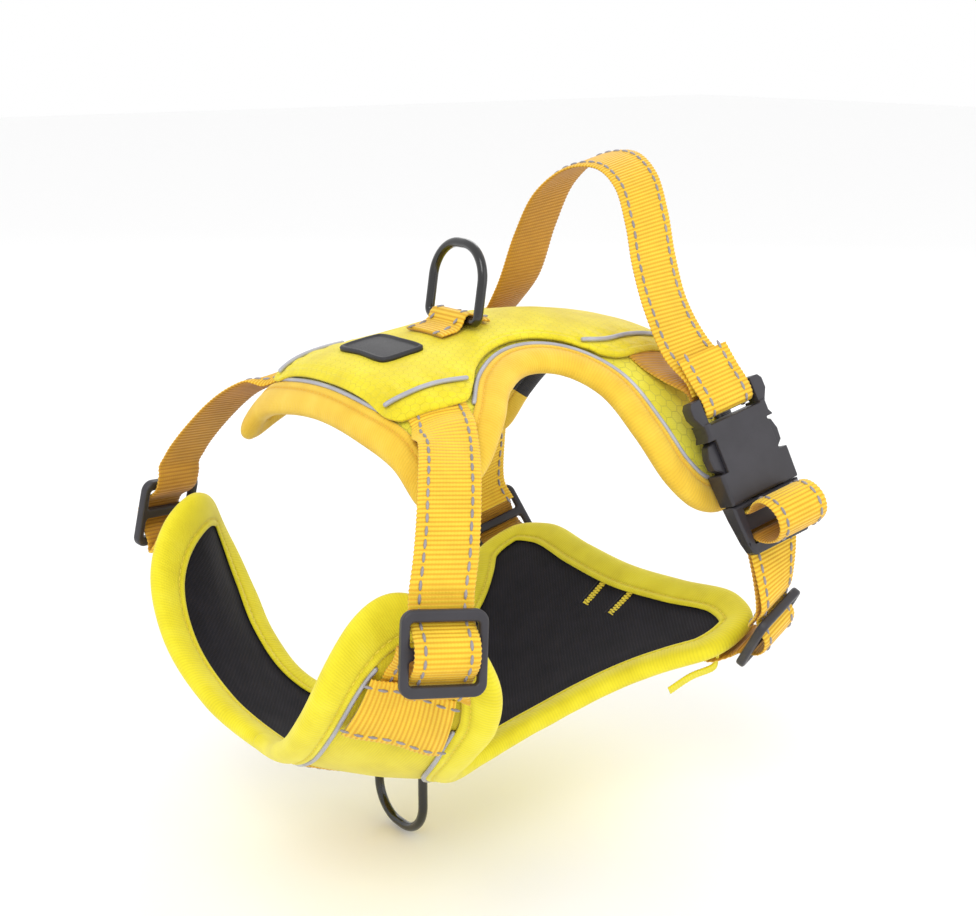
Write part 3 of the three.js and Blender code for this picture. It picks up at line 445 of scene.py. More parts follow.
# Half outlines from the front centre round to the rear centre, with the two rounded arm ends named by index
saddleHalf = [(0, -97), (30, -96), (56, -92), (76, -90), (89, -77), (84, -59), (68, -41), (52, -27),
        (44, -12),
              (47, 2), (60, 14), (83, 21), (104, 30), (116, 44), (117.6, 58), (110, 72), (86, 81), (58, 87),
              (28, 92), (0, 93)]
chestHalf = [(0, -123), (30, -130), (62, -135), (94, -132), (122, -119), (140, -102), (144, -88),
        (132, -76),
             (110, -70), (87, -69), (62, -63), (47.5, -46), (45.5, -27), (49.5, -4), (55, 12), (64, 28),
             (74, 40),
             (85, 52), (88, 68), (84, 80.5), (66, 88.5), (34, 87), (0, 85.5)]
overlayHalf = [(0, -82), (28, -81.5), (42, -81.3), (49, -78), (52.5, -68), (54.3, -57), (54, -51),
        (48, -44.5),
               (38.5, -36), (31, -25), (27.6, -14), (28, -2), (32.4, 9), (39, 17.5), (45.5, 24.5),
               (47.5, 32),
               (44, 52), (41.5, 69), (35, 74.5), (20, 78), (0, 79)]
patchHalf = [(0, -66), (12, -66), (16, -64.5), (17, -55), (15.5, -45.5), (12, -44.5), (0, -45)]


def outlineOf(half, frontCorner, rearCorner):
    loop = np.array(half + [(-x, y) for x, y in half[-2:0:-1]], float)
    return {"loop": loop, "count": len(loop), "front": frontCorner, "rear": rearCorner}


def edgeAt(outline, place, inset):
    place, inset = np.broadcast_arrays(np.asarray(place, float), np.asarray(inset, float))
    count = outline["count"]
    at = curveAt(outline["loop"], place % count, True)
    heading = curveAt(outline["loop"], (place + 0.02) % count, True) - curveAt(outline["loop"],
            (place - 0.02) % count, True)
    heading = heading / np.linalg.norm(heading, axis=-1, keepdims=True)
    return at[..., 0] - heading[..., 1] * inset, at[..., 1] + heading[..., 0] * inset


saddle = outlineOf(saddleHalf, 4, 14)
chest = outlineOf(chestHalf, 6, 18)
overlay = outlineOf(overlayHalf, 3, 17)
patch = outlineOf(patchHalf, 2, 4)


def columnShare(share):
    side = 2 * share - 1
    return 0.5 + 0.5 * (side * 0.3 + 0.7 * 2 * np.arcsin(np.clip(side, -1, 1)) / math.pi)


# The flat grid of a panel between its four edges
def gridOf(outline, inset, columns, rows):
    front, rear, count = outline["front"], outline["rear"], outline["count"]
    a = np.linspace(0, 1, columns + 1)
    b = np.linspace(0, 1, rows + 1) ** 1.15
    edge = lambda start, end, share: np.stack(edgeAt(outline, start + (end - start) * share, inset), -1)
    left, right = edge(count - front, count - rear, b)[:, None], edge(front, rear, b)[:, None]
    near, far = edge(-front, front, columnShare(a))[None], edge(count - rear, rear, columnShare(a))[None]
    a, b = a[None, :, None], b[:, None, None]
    corners = (near[:, :1] * (1 - a) + near[:, -1:] * a) * (1 - b) + (far[:, :1] * (1 - a) + far[:,
            -1:] * a) * b
    grid = left * (1 - a) + right * a + near * (1 - b) + far * b - corners
    return grid[..., 0], grid[..., 1]


# Heights above the wearer's side of a panel
heights = {"lining": 1.0, "cloth": 1.3, "clothTop": 3.7, "overlay": 6.5, "overlayTop": 7.8}


# Soft unevenness of sewn cloth, the same each run
def unevenness(across, along, size, seed):
    waves = np.random.default_rng(seed).uniform(-1, 1, (7, 3))
    total = 0
    for a, b, c in waves:
        length = size * (1 + 0.6 * c)
        total = total + np.sin((across * a + along * b) * 2 * math.pi / length / math.hypot(a, b) + 9 * c)
    return total / 7


def sheetLayer(name, form, outline, look, bottom, top, inset, columns, rows, bulge, material):
    across, along = gridOf(outline, inset, columns, rows)
    rise = bulge(across, along)
    upper = onPanel(form, across, along, top + rise)
    lower = onPanel(form, across, along, bottom + (rise if look == "thin" else 0 * rise))
    loops = np.concatenate([upper, lower[:, ::-1]], 1)
    points, faces = lofted(loops)
    uv = np.concatenate([np.stack([across, along], -1), np.stack([across, along], -1)[:, ::-1]],
            1).reshape(-1, 2)
    return newObject(name, points, faces, material, uv=uv)


def finish(piece, body, nodes=()):
    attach(piece, body)
    if nodes:
        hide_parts(*nodes)
    return piece


panelSettings = {"inset": 3.6, "columns": 110, "rows": 110}


# How far a place is from the panel's edge, in the flat
def fromEdge(outline, across, along):
    ring = curveAt(outline["loop"], np.linspace(0, outline["count"], 500, endpoint=False), True)
    flat = np.stack([across, along], -1).reshape(-1, 1, 2)
    nearest = np.concatenate([np.linalg.norm(part - ring[None],
            axis=-1).min(1) for part in np.array_split(flat, 20)])
    return nearest.reshape(across.shape)


def paddedPanel(prefix, form, outline, clothLook, seed):
    inset = panelSettings["inset"]

    def puff(across, along):
        edge = fromEdge(outline, across, along)
        soft = np.clip((edge - 13) / 9, 0, 1)
        return 0.9 * np.sin(soft * math.pi / 2) * (1 - 0.25 * soft) + 0.22 * unevenness(across, along, 34,
                seed) * soft

    cloth = sheetLayer(prefix + "_cloth", form, outline, "thick", heights["cloth"], heights["clothTop"],
            inset,
                       panelSettings["columns"], panelSettings["rows"], puff, looks[clothLook])
    finish(cloth, "harness", [prefix + "_panel"])

    def sag(across, along):
        edge = fromEdge(outline, across, along)
        soft = np.clip((edge - 12) / 10, 0, 1)
        return -0.7 * soft + 0.35 * unevenness(across, along, 41, seed + 5) * soft

    lining = sheetLayer(prefix + "_inner_cloth", form, outline, "thin", 0, heights["lining"], inset, 90, 90,
                        lambda across, along: sag(across, along) * 0.9, looks["lining"])
    finish(lining, "harness", [prefix + "_lining"])
    return cloth, lining


saddleCloth, saddleLining = paddedPanel("saddle", saddleForm, saddle, "saddle", 3)
chestCloth, chestLining = paddedPanel("chest", chestForm, chest, "chest", 8)
print("padded panels made")


# The middle line of the tape as (inset, height) from its outer hem over the edge to its inner hem,
# with the sewn crease 3 mm in from each hem
bindingSettings = {
    "outer": [(13.2, 4.4), (12.6, 4.95), (11.8, 5.15), (11.1, 5.0), (10.6, 4.8), (10.1, 5.0), (9.0, 5.4),
    (7.0, 5.7),
              (4.8, 5.65), (2.8, 5.2), (1.2, 4.2), (0.4, 2.8), (0.3, 1.4)],
    "inner": [(0.6, 0.1), (1.6, -1.0), (3.0, -1.6), (4.8, -1.9), (6.6, -1.9), (8.6, -1.75), (10.1, -1.45),
              (10.6, -1.25), (11.1, -1.4), (11.8, -1.6), (12.6, -1.45), (13.2, -0.9)],
    "thickness": 0.8, "crease": 10.6, "pucker": 0.07, "puckerPitch": 3.1,
}


# The saddle's edge sample places used for its two bindings, as the parting lies between them
def archPlaces():
    rear, count = saddle["rear"], saddle["count"]
    share = columnShare(np.array([2 / 18, 16 / 18]))
    span = count - 2 * rear
    return rear + span * share


def boundEdge(name, form, outline, start, end, closed, material, seed):
    settings = bindingSettings
    path = np.array(settings["outer"] + settings["inner"], float)
    middle = curveAt(path, np.linspace(0, len(path) - 1, 49))
    tangent = np.gradient(middle, axis=0)
    normal = np.stack([-tangent[:, 1], tangent[:, 0]], -1)
    normal /= np.linalg.norm(normal, axis=-1, keepdims=True)
    thin = settings["thickness"] / 2
    sides = [middle + normal * thin, (middle - normal * thin)[::-1]]
    profile = np.concatenate(sides)
    lengthAcross = np.concatenate([[0], np.cumsum(np.linalg.norm(np.diff(middle, axis=0), axis=1))])
    u = np.concatenate([lengthAcross, lengthAcross[::-1]])
    # steps of about one millimetre round the edge
    fine = np.linspace(start, end, 4000)
    x, y = edgeAt(outline, fine, 5.0)
    travelled = np.concatenate([[0], np.cumsum(np.hypot(np.diff(x), np.diff(y)))])
    steps = int(travelled[-1] / 1.05)
    places = np.interp(np.linspace(0, travelled[-1], steps + 1), travelled, fine)
    v = np.linspace(0, travelled[-1], steps + 1)
    if closed:
        places, v = places[:-1], v[:-1]
    nearCrease = np.exp(-((profile[:, 0] - settings["crease"]) / 1.6) ** 2)
    gather = settings["pucker"] * np.sin(v * 2 * math.pi / settings["puckerPitch"])[:, None]
    slow = 0.22 * unevenness(v[:, None], v[:, None] * 0.3, 26, seed)
    belly = np.clip(np.sin(np.clip(profile[:, 0] / settings["crease"], 0, 1) * math.pi), 0, 1)
    sign = np.where(profile[:, 1] > 1.85, 1.0, -1.0)
    height = profile[None, :, 1] + sign * (gather * nearCrease + slow * belly)
    inset = np.broadcast_to(profile[None, :, 0], height.shape)
    across, along = edgeAt(outline, places[:, None], inset)
    points, faces = lofted(onPanel(form, across, along, height), closed)
    uv = np.stack(np.broadcast_arrays(u[None, :], v[:, None]), -1).reshape(-1, 2)
    # how strong the painted shade of the sewn crease is across the tape
    crease = np.broadcast_to(np.exp(-((profile[:, 0] - settings["crease"]) / 0.8) ** 2),
            height.shape).reshape(-1)
    made = newObject(name, points, faces, material, uv=uv, fields={"crease": crease * 0.7})
    creaseLines = []
    for level in (4.8 + thin, -1.25 - thin):
        x, y = edgeAt(outline, places, settings["crease"])
        creaseLines.append(onPanel(form, x, y, np.full(len(x), level)))
    return made, creaseLines, travelled[-1]


archFrom, archTo = archPlaces()
bindings = []
for name, form, outline, start, end, closed, tape, thread, node, slotName, seed in (
        ("saddle_edge_tape", saddleForm, saddle, archTo - saddle["count"], archFrom, False, "amberTape",
        "amberThread",
         "saddle_binding", "amber_binding", 21),
        ("saddle_arch_tape", saddleForm, saddle, archFrom, archTo, False, "blackTape", "blackThread",
         "saddle_rear_binding", "black_binding", 22),
        ("chest_edge_tape", chestForm, chest, 0.0, float(chest["count"]), True, "yellowTape",
        "yellowThread",
         "chest_binding", "yellow_binding", 23)):
    piece, creaseLines, girth = boundEdge(name, form, outline, start, end, closed, looks[tape], seed)
    finish(piece, "harness", [node])
    bindings.append({"piece": piece, "lines": creaseLines, "thread": thread, "length": girth,
            "closed": closed})
print("bindings made")


def alongLine(points, count=60):
    return curveAt(np.array(points, float), np.linspace(0, len(points) - 1, count))


frontSeam = [(39.2, -79.5), (41, -72), (42.4, -58), (45, -45)]
rearSeam = [(37, 18.5), (37.7, 31), (34, 48), (30, 70)]


def overlayRise(across, along):
    rise = 0.25 * unevenness(across, along, 23, 31)
    for seam in (frontSeam, rearSeam):
        line = alongLine(seam)
        flat = np.stack([np.abs(across), along], -1)[..., None, :]
        distances = np.linalg.norm(flat - line, axis=-1)
        away = distances.min(-1)
        place = distances.argmin(-1) / len(line)
        rise = rise - 0.75 * np.exp(-(away / 1.6) ** 2)
        rise = rise + 0.35 * np.exp(-((away - 5) / 3.5) ** 2) * np.sin(place * 2 * math.pi * 4.5)
    edge = fromEdge(overlay, across, along)
    rise = rise - 0.9 * np.exp(-(edge / 1.4) ** 2) - 0.35 * np.exp(-((edge - 3.2) / 0.7) ** 2)
    return np.clip(rise, -1.2, 0.9)


overlayCloth = sheetLayer("overlay_cloth", saddleForm, overlay, "thin", heights["overlay"],
        heights["overlayTop"], 0.0,
                          120, 150, overlayRise, looks["overlay"])
finish(overlayCloth, "harness", ["saddle_overlay"])


def rubberPatch():
    across, along = gridOf(patch, 0.0, 44, 36)
    edge = fromEdge(patch, across, along)
    rim = 1 / (1 + np.exp((edge - 1.8) / 0.16))
    top = 8.1 + 0.85 + 0.85 * rim - 0.5 * np.exp(-(edge / 0.45) ** 2)
    upper = onPanel(saddleForm, across, along, top)
    lower = onPanel(saddleForm, across, along, np.full(top.shape, 7.6))
    points, faces = lofted(np.concatenate([upper, lower[:, ::-1]], 1))
    flat = np.stack([across, along], -1)
    uv = np.concatenate([flat, flat[:, ::-1]], 1).reshape(-1, 2)
    return newObject("rubber_patch", points, faces, looks["rubber"], uv=uv)


finish(rubberPatch(), "harness", ["patch"])
print("overlay and patch made")


def tube(name, centres, radius, material, sides=12, closed=False, flatNormal=None):
    centres = np.asarray(centres, float)
    if closed:
        heading = np.roll(centres, -1, 0) - np.roll(centres, 1, 0)
    else:
        heading = np.gradient(centres, axis=0)
    heading /= np.linalg.norm(heading, axis=-1, keepdims=True)
    side = np.empty_like(heading)
    if flatNormal is not None:
        side[:] = flatNormal
    else:
        previous = np.cross(heading[0], (0.31, 0.17, 0.94))
        for i, direction in enumerate(heading):
            previous = previous - direction * previous.dot(direction)
            previous /= np.linalg.norm(previous)
            side[i] = previous
    up = np.cross(side, heading)
    angle = (np.arange(sides) + 0.5) / sides * 2 * math.pi
    radii = np.full(len(centres), float(radius))
    if not closed:
        radii[0] = radii[-1] = radius * 0.55
    ring = side[:, None] * np.cos(angle)[None, :, None] + up[:, None] * np.sin(angle)[None, :, None]
    points, faces = lofted(centres[:, None] + ring * radii[:, None, None], closed)
    travelled = np.concatenate([[0], np.cumsum(np.linalg.norm(np.diff(centres, axis=0), axis=1))])
    uv = np.stack(np.broadcast_arrays((angle * radius)[None, :], travelled[:, None]), -1).reshape(-1, 2)
    return newObject(name, points, faces, material, uv=uv)


pipingSettings = {"radius": 1.0, "inset": 14.1}


def edgePiping(name, node, form, outline, start, end):
    places = np.linspace(start, end, int(abs(end - start) * 22))
    x, y = edgeAt(outline, places, pipingSettings["inset"])
    centres = onPanel(form, x, y, np.full(len(x), heights["clothTop"] + 1.15))
    finish(tube(name, centres, pipingSettings["radius"], looks["piping"]), "harness", [node])


saddleNeck = saddle["front"] * 0.4
chestNeck = chest["front"] * 0.6
edgePiping("saddle_neck_cord", "saddle_neck_piping", saddleForm, saddle, -saddleNeck, saddleNeck)
edgePiping("chest_neck_cord", "chest_neck_piping", chestForm, chest, -chestNeck, chestNeck)
for side, label in ((1, "left"), (-1, "right")):
    start, end = saddle["front"] + 2.2, saddle["rear"] - 0.6
    edgePiping("saddle_side_cord_" + label, "saddle_side_piping_" + label, saddleForm, saddle,
               *((start, end) if side > 0 else (saddle["count"] - start, saddle["count"] - end)))
    start, end = chest["front"] + 2.4, chest["rear"] - 1
    edgePiping("chest_side_cord_" + label, "chest_side_piping_" + label, chestForm, chest,
               *((start, end) if side > 0 else (chest["count"] - start, chest["count"] - end)))
    for seam, place in ((frontSeam, "front"), (rearSeam, "rear")):
        line = alongLine(seam, 56)
        centres = onPanel(saddleForm, line[:, 0] * side, line[:, 1],
                np.full(len(line), heights["overlayTop"] + 0.5))
        finish(tube("overlay_%s_cord_%s" % (place, label), centres, pipingSettings["radius"],
                looks["piping"]),
               "harness", ["overlay_%s_piping_%s" % (place, label)])
print("piping made")


webbingSettings = {"thickness": 1.6, "columns": 15, "rib": 0.11, "ribPitch": 1.8,
        "stepsPerRib": 5}


def sharesOf(width):
    return np.linspace(-0.5, 0.5, 4) * width


def stationOnPanel(form, across, along, height, turn=0.0, width=25.0):
    share = sharesOf(width)
    sideways, lengthways = math.sin(math.radians(turn)), math.cos(math.radians(turn))
    return onPanel(form, across - sideways * share, along + lengthways * share, np.full(4, height))


def stationAt(centre, direction, width=25.0):
    direction = np.array(direction, float) / np.linalg.norm(direction)
    return np.array(centre, float) + sharesOf(width)[:, None] * direction


# Hardware frames: x across the webbing, y up the strap, z outwards
def frameOf(centre, across, up):
    x = np.array(across, float) / np.linalg.norm(across)
    z = np.cross(x, up)
    z /= np.linalg.norm(z)
    return {"centre": np.array(centre, float), "x": x, "y": np.cross(z, x), "z": z}


def inFrame(place, points):
    points = np.asarray(points, float)
    return place["centre"] + points @ np.array([place["x"], place["y"], place["z"]])


def stationIn(place, y, z):
    share = sharesOf(25.0)
    return inFrame(place, np.stack([share, np.full(4, y), np.full(4, z)], -1))


def smoothed(stations, steps):
    stations = np.array(stations)
    return list(curveAt(stations, np.linspace(0, len(stations) - 1, (len(stations) - 1) * steps + 1)))


# Webbing woven through stations: ribs across it in real relief, and a line of places for each row of
# stitches
def woven(name, stations, settings=None, sewnRows=(-8.9, 8.9), outward=None, mirror=False, facing=0.5):
    settings = {**webbingSettings, **(settings or {})}
    stations = np.array(stations)
    if mirror:
        stations = stations * (-1, 1, 1)
    fine = curveAt(stations, np.linspace(0, len(stations) - 1, len(stations) * 24))
    middle = fine.mean(1)
    travelled = np.concatenate([[0], np.cumsum(np.linalg.norm(np.diff(middle, axis=0), axis=1))])
    length = travelled[-1]
    step = settings["ribPitch"] / settings["stepsPerRib"]
    rows = int(length / step) + 1
    v = np.linspace(0, length, rows)
    spread = np.stack([[np.interp(v, travelled, fine[:, k, axis]) for axis in range(3)] for k in range(4)])
    spread = spread.transpose(2, 0, 1)
    # the four tracks are drawn as one smooth curve across the width
    columns = settings["columns"]
    c = np.sin(np.linspace(-1, 1, columns) * math.pi / 2 * 0.98) / math.sin(math.pi / 2 * 0.98)
    nodes4 = np.linspace(-1, 1, 4)
    weights = np.array([[np.prod([(x - nodes4[m]) / (nodes4[k] - nodes4[m]) for m in range(4) if m != k])
                         for k in range(4)] for x in c])
    surface = np.einsum("ck,rkx->rcx", weights, spread)
    ribWave = np.cos(v * 2 * math.pi / settings["ribPitch"])
    centre = surface.mean(1, keepdims=True)
    surface = centre + (surface - centre) * (1 + 0.012 * ribWave[:, None, None])
    heading = np.gradient(surface, axis=0)
    sideways = np.gradient(surface, axis=1)
    out = np.cross(heading, sideways)
    out /= np.linalg.norm(out, axis=-1, keepdims=True)
    lean = np.sqrt(np.clip(1 - (np.abs(c) ** 14), 0.08, 1))
    alternate = np.cos(np.linspace(0, columns - 1, columns) * math.pi)
    relief = settings["rib"] * (ribWave[:, None] * 0.85 + 0.15 * ribWave[:, None] * alternate[None])
    half = (settings["thickness"] / 2 * lean)[None] + relief * lean[None]
    upper = surface + out * half[..., None]
    lower = surface - out * (settings["thickness"] / 2 * lean[None] + relief[:, ::-1] * lean[None])[...,
            None]
    points, faces = lofted(np.concatenate([upper, lower[:, ::-1]], 1))
    width = np.linalg.norm(spread[0, 0] - spread[0, -1])
    u = c * width / 2
    uv = np.stack(np.broadcast_arrays(np.concatenate([u, u[::-1]])[None], v[:, None]), -1).reshape(-1, 2)
    if outward is None:
        at = int(rows * facing)
        mid = columns // 2
        away = surface[at, mid] - np.array([0, surface[at, mid][1], -85.0])
        outward = 1 if np.dot(out[at, mid], away) > 0 else -1
    # marks the inner face, which the webbing material gives painted shade
    under = np.concatenate([np.zeros(columns), np.ones(columns)])
    if outward < 0:
        under = 1 - under
    under = np.broadcast_to(under[None], (rows, 2 * columns)).reshape(-1)
    made = newObject(name, points, faces, looks["webbing"], uv=uv, fields={"under": under})
    lines = []
    for offset in sewnRows:
        share = offset / (width / 2)
        across = np.array([np.interp(share, c, np.arange(columns))])
        low = int(across[0])
        blend = across[0] - low
        track = surface[:, low] * (1 - blend) + surface[:, min(low + 1, columns - 1)] * blend
        normal = out[:, low]
        lines.append(track + normal * outward * (settings["thickness"] / 2 + 0.12))
    return made, lines, length, width


stitchRows = []  # name, lines, thread and body, gathered while the straps are made


def strap(name, node, stations, settings=None, rows=(-8.9, 8.9), body="harness",
        mirror=False,
          facing=0.5, outward=None):
    made, lines, length, width = woven(name, stations, settings, rows, outward, mirror, facing)
    finish(made, body, [node])
    stitchRows.append({"name": name + "_stitches", "lines": lines, "thread": "greyThread", "body": body})
    return made


onPadding = 5.1
neckFrame = frameOf((111, -106, -89), (0.3, 0.94, -0.1), (-0.145, 0.149, 0.965))
girthFrame = frameOf((97.5, 77, -125.5), (-0.2, 0.92, 0.32), (0.59, -0.235, 0.775))
buckleFrame = frameOf((81.4, 58.8, -22.4), (0.127, 0.957, 0.256), (-0.375, -0.21, 0.903))
sliderWeave = [(20, -4.2), (13, -3.8), (9.6, -1.6), (7.2, 1.4), (4.6, 4.0), (0, 5.2), (-4.6, 4.0),
        (-7.2, 1.4),
               (-9.6, -1.6), (-12.5, -4), (-17, -5.6)]
neckRoot = [
    stationOnPanel(saddleForm, 34, -62, onPadding, -14), stationOnPanel(saddleForm, 46, -63, onPadding,
    -14),
    stationOnPanel(saddleForm, 56, -64.5, onPadding - 0.1, -13),
    stationOnPanel(saddleForm, 61.5, -67, onPadding + 2.8, -13),
    stationAt((70, -74, -24.5), (0.24, 0.95, -0.1)), stationAt((82, -82, -32), (0.26, 0.95, -0.1)),
    stationAt((92.5, -90, -44), (0.28, 0.95, -0.1)), stationAt((101, -97.5, -57.5), (0.29, 0.94, -0.1))]
neckEnd = [
    stationOnPanel(chestForm, 124, -95, 15.3, -12), stationOnPanel(chestForm, 118, -96.5, 10.6, -20),
    stationOnPanel(chestForm, 112.5, -98.5, onPadding + 1.6, -26),
    stationOnPanel(chestForm, 99, -101, onPadding + 0.2, -26),
    stationOnPanel(chestForm, 87, -104.5, onPadding + 0.2, -26)]
neckStations = smoothed(neckRoot + [stationIn(neckFrame, 24, -3.4)], 2)
neckStations += [stationIn(neckFrame, y, z) for y, z in sliderWeave] + smoothed(neckEnd, 2)
tapeRoot = [stationOnPanel(saddleForm, 34, 50, onPadding, 3),
        stationOnPanel(saddleForm, 46, 51.5, onPadding, 3),
            stationOnPanel(saddleForm, 55, 53, onPadding + 0.8, 3), stationIn(buckleFrame, 6, -4.6)]
tapeLoop = [(0, -4.1), (-3.4, -4), (-5.2, -3), (-5.9, -0.4), (-5.8, 1.8), (-4.9, 3.4), (-2.6, 4.3),
        (1, 4.3), (5, 3.2),
            (9, 1.7), (14, 0.4), (20, -1)]
tapeStations = smoothed(tapeRoot, 2) + [stationIn(buckleFrame, y, z) for y, z in tapeLoop]
girthRoll = [(-67, -6.8), (-61, -6.6), (-55, -5.2), (-50.2, -4.4), (-48.2, -2.2), (-49, 3), (-48.6, 6.5),
        (-45.8, 11),
             (-45, 17), (-47.5, 22.5), (-52.5, 25.4), (-58, 24), (-61.6, 19), (-62.6, 12), (-61.6, 5.6),
             (-59.6, 1),
             (-59.6, -2.4), (-61.6, -4.4), (-67, -4.9)]
girthStations = [stationIn(girthFrame, 7, -5.6), stationIn(girthFrame, 17, -5.8)]
girthStations += [stationIn(buckleFrame, y, z) for y, z in girthRoll]
girthStations += [stationIn(girthFrame, y, z) for y, z in sliderWeave]
girthStations += [stationOnPanel(chestForm, 78, 70, 9.4), stationOnPanel(chestForm, 71, 69, 7.8),
                  stationOnPanel(chestForm, 62, 67, 7.8)]
# The band goes from the neck edge to the armpit edge: it lies on the cloth at its ends and on the strap
# between
bandCorners = {"start": ((70.5, -119.5), (100.5, -115)), "end": ((86.5, -84), (117.5, -86))}
overStrap = onPadding + 1.6 + 3.4 * 0.6


def bandStation(share):
    (startLow, startHigh), (endLow, endHigh) = bandCorners["start"], bandCorners["end"]
    low = np.array(startLow) * (1 - share) + np.array(endLow) * share
    high = np.array(startHigh) * (1 - share) + np.array(endHigh) * share
    flat = high + (low - high) * np.linspace(0, 1, 4)[:, None]
    height = overStrap - 1.6 * abs(2 * share - 1) ** 6
    return onPanel(chestForm, flat[:, 0], flat[:, 1], np.full(4, height))


bandStations = [bandStation(share) for share in (0, 0.08, 0.2, 0.4, 0.6, 0.8, 0.92, 1)]
for mirror, label in ((False, "left"), (True, "right")):
    strap("neck_webbing_" + label, "neck_strap_" + label, neckStations, mirror=mirror, facing=0.35)
    strap("girth_loop_" + label, "girth_tape_" + label, tapeStations, mirror=mirror, facing=0.97)
    strap("girth_webbing_" + label, "girth_strap_" + label, girthStations, mirror=mirror, facing=0.62)
    strap("chest_band_webbing_" + label, "chest_band_" + label, bandStations, mirror=mirror,
            rows=(-11.8, 11.8))

handleFoot = [stationIn(buckleFrame, 4, -1.4), stationIn(buckleFrame, 10, -1.6),
              stationAt((65, 54.5, -5), (0.08, 0.97, 0.2)), stationAt((51, 54.5, 12), (0, 1, 0.08))]
handleArch = [((40, 57, 30), 0.12), ((30.5, 61, 47), 0.18), ((17, 66, 62.5), 0.22), ((0, 68.5, 70), 0.25),
              ((-18, 65.5, 67.5), 0.22), ((-32.5, 60.5, 55.5), 0.18), ((-42, 57, 36), 0.12)]
handleStations = handleFoot + [stationAt(at, (0, 1, rise)) for at, rise in handleArch]
handleStations += [station * (-1, 1, 1) for station in handleFoot[::-1]]
strap("handle_webbing", "handle", handleStations)


# Ring bars: x along the bar, y along the panel and z away from the wearer
def barFrameOn(form, along, surface):
    height = surface + 0.3 + 2.1
    ends = onPanel(form, np.zeros(3), np.array([along - 2, along, along + 2]), np.full(3, height))
    return frameOf(ends[1], (1, 0, 0), (ends[2] - ends[0]) * -form["turn"])


def ringTab(form, front, bar, surface):
    low, reach = surface + 0.6 + 0.8, 2.1 + 0.3 + 0.8
    place, rear = barFrameOn(form, bar, surface), -form["turn"]
    raised = bar - 7.5
    stations = [stationOnPanel(form, 0, front + (raised - front) * share, low, 90) for share in (0, 0.35,
            0.7, 1)]
    stations.append(stationIn(place, -4.4 * rear, -0.5)[::-1])
    for angle in np.radians(np.arange(150, -11, -32)):
        stations.append(stationIn(place, reach * math.cos(angle) * rear, reach * math.sin(angle))[::-1])
    return stations + [stationIn(place, 5 * rear, -0.6)[::-1], stationOnPanel(form, 0, bar + 9, low, 90)]


strap("top_ring_webbing", "top_ring_tab", ringTab(saddleForm, -33, -18, heights["overlayTop"]), facing=0.2)
strap("chest_ring_webbing", "chest_ring_tab", ringTab(chestForm, -106, -52, heights["clothTop"]),
        facing=0.2)
# The loose tape end leaves the binding at the nearest place on its underside
looseEnd = [(76, 66, -148.5), (71, 57.5, -152.5), (66, 49, -159)]
hemLine = onPanel(chestForm, *edgeAt(chest, np.linspace(12, 20, 240), 4.0), np.full(240, 5.2))
leaves = hemLine[np.linalg.norm(hemLine - looseEnd[0], axis=1).argmin()]
print("tape end leaves the binding", round(float(np.linalg.norm(leaves - looseEnd[0])), 1), "mm away")
tailStations = [stationAt(at, (0.35, -0.6, 0.7), 6.0) for at in [tuple(leaves)] + looseEnd]
tail, _, tailLength, tailWidth = woven(
    "folded_tape_end", tailStations, {"thickness": 1.0, "columns": 9, "rib": 0.08, "ribPitch": 1.4}, ())
tail.data.materials.clear()
tail.data.materials.append(looks["yellowTape"])
finish(tail, "harness", ["tape_tail"])
print("webbing made")


# Threads laid end to end on drawn lines
def stitchTree():
    tree = bpy.data.node_groups.new("stitches on a line", "GeometryNodeTree")
    for label, kind, default in (("Lines", "NodeSocketGeometry", None),
            ("Pitch", "NodeSocketFloat", 0.0055),
                                 ("Length", "NodeSocketFloat", 0.0036),
                                 ("Radius", "NodeSocketFloat", 0.0006),
                                 ("Thread", "NodeSocketMaterial", None)):
        socket = tree.interface.new_socket(label, in_out="INPUT", socket_type=kind)
        if default is not None:
            socket.default_value = default
    tree.interface.new_socket("Stitches", in_out="OUTPUT", socket_type="NodeSocketGeometry")
    given = addNode(tree, "NodeGroupInput")
    curve = addNode(tree, "GeometryNodeMeshToCurve", {"Mesh": given.outputs["Lines"]})
    spaced = addNode(tree, "GeometryNodeResampleCurve", {"Curve": curve, "Length": given.outputs["Pitch"]},
            mode="LENGTH")
    ball = addNode(tree, "GeometryNodeMeshUVSphere", {"Segments": 6, "Rings": 5, "Radius": 1.0})
    soft = addNode(tree, "GeometryNodeSetShadeSmooth", {"Geometry": ball})
    heading = addNode(tree, "GeometryNodeInputTangent")
    turned = addNode(tree, "FunctionNodeAlignEulerToVector", {"Vector": heading}, axis="Z")
    halfLength = addNode(tree, "ShaderNodeMath", {0: given.outputs["Length"], 1: 0.5}, operation="MULTIPLY")
    size = addNode(tree, "ShaderNodeCombineXYZ", {
        0: given.outputs["Radius"], 1: given.outputs["Radius"], 2: halfLength})
    placed = addNode(tree, "GeometryNodeInstanceOnPoints", {
        "Points": spaced, "Instance": soft, "Rotation": turned, "Scale": size})
    real = addNode(tree, "GeometryNodeRealizeInstances", {"Geometry": placed})
    coloured = addNode(tree, "GeometryNodeSetMaterial", {"Geometry": real, "Material": given.outputs["Thread"]})
    addNode(tree, "NodeGroupOutput", {"Stitches": coloured})
    return tree


stitches = stitchTree()


def plainMesh(made):
    graph = bpy.context.evaluated_depsgraph_get()
    mesh = bpy.data.meshes.new_from_object(made.evaluated_get(graph))
    made.modifiers.clear()
    made.data = mesh
    return made


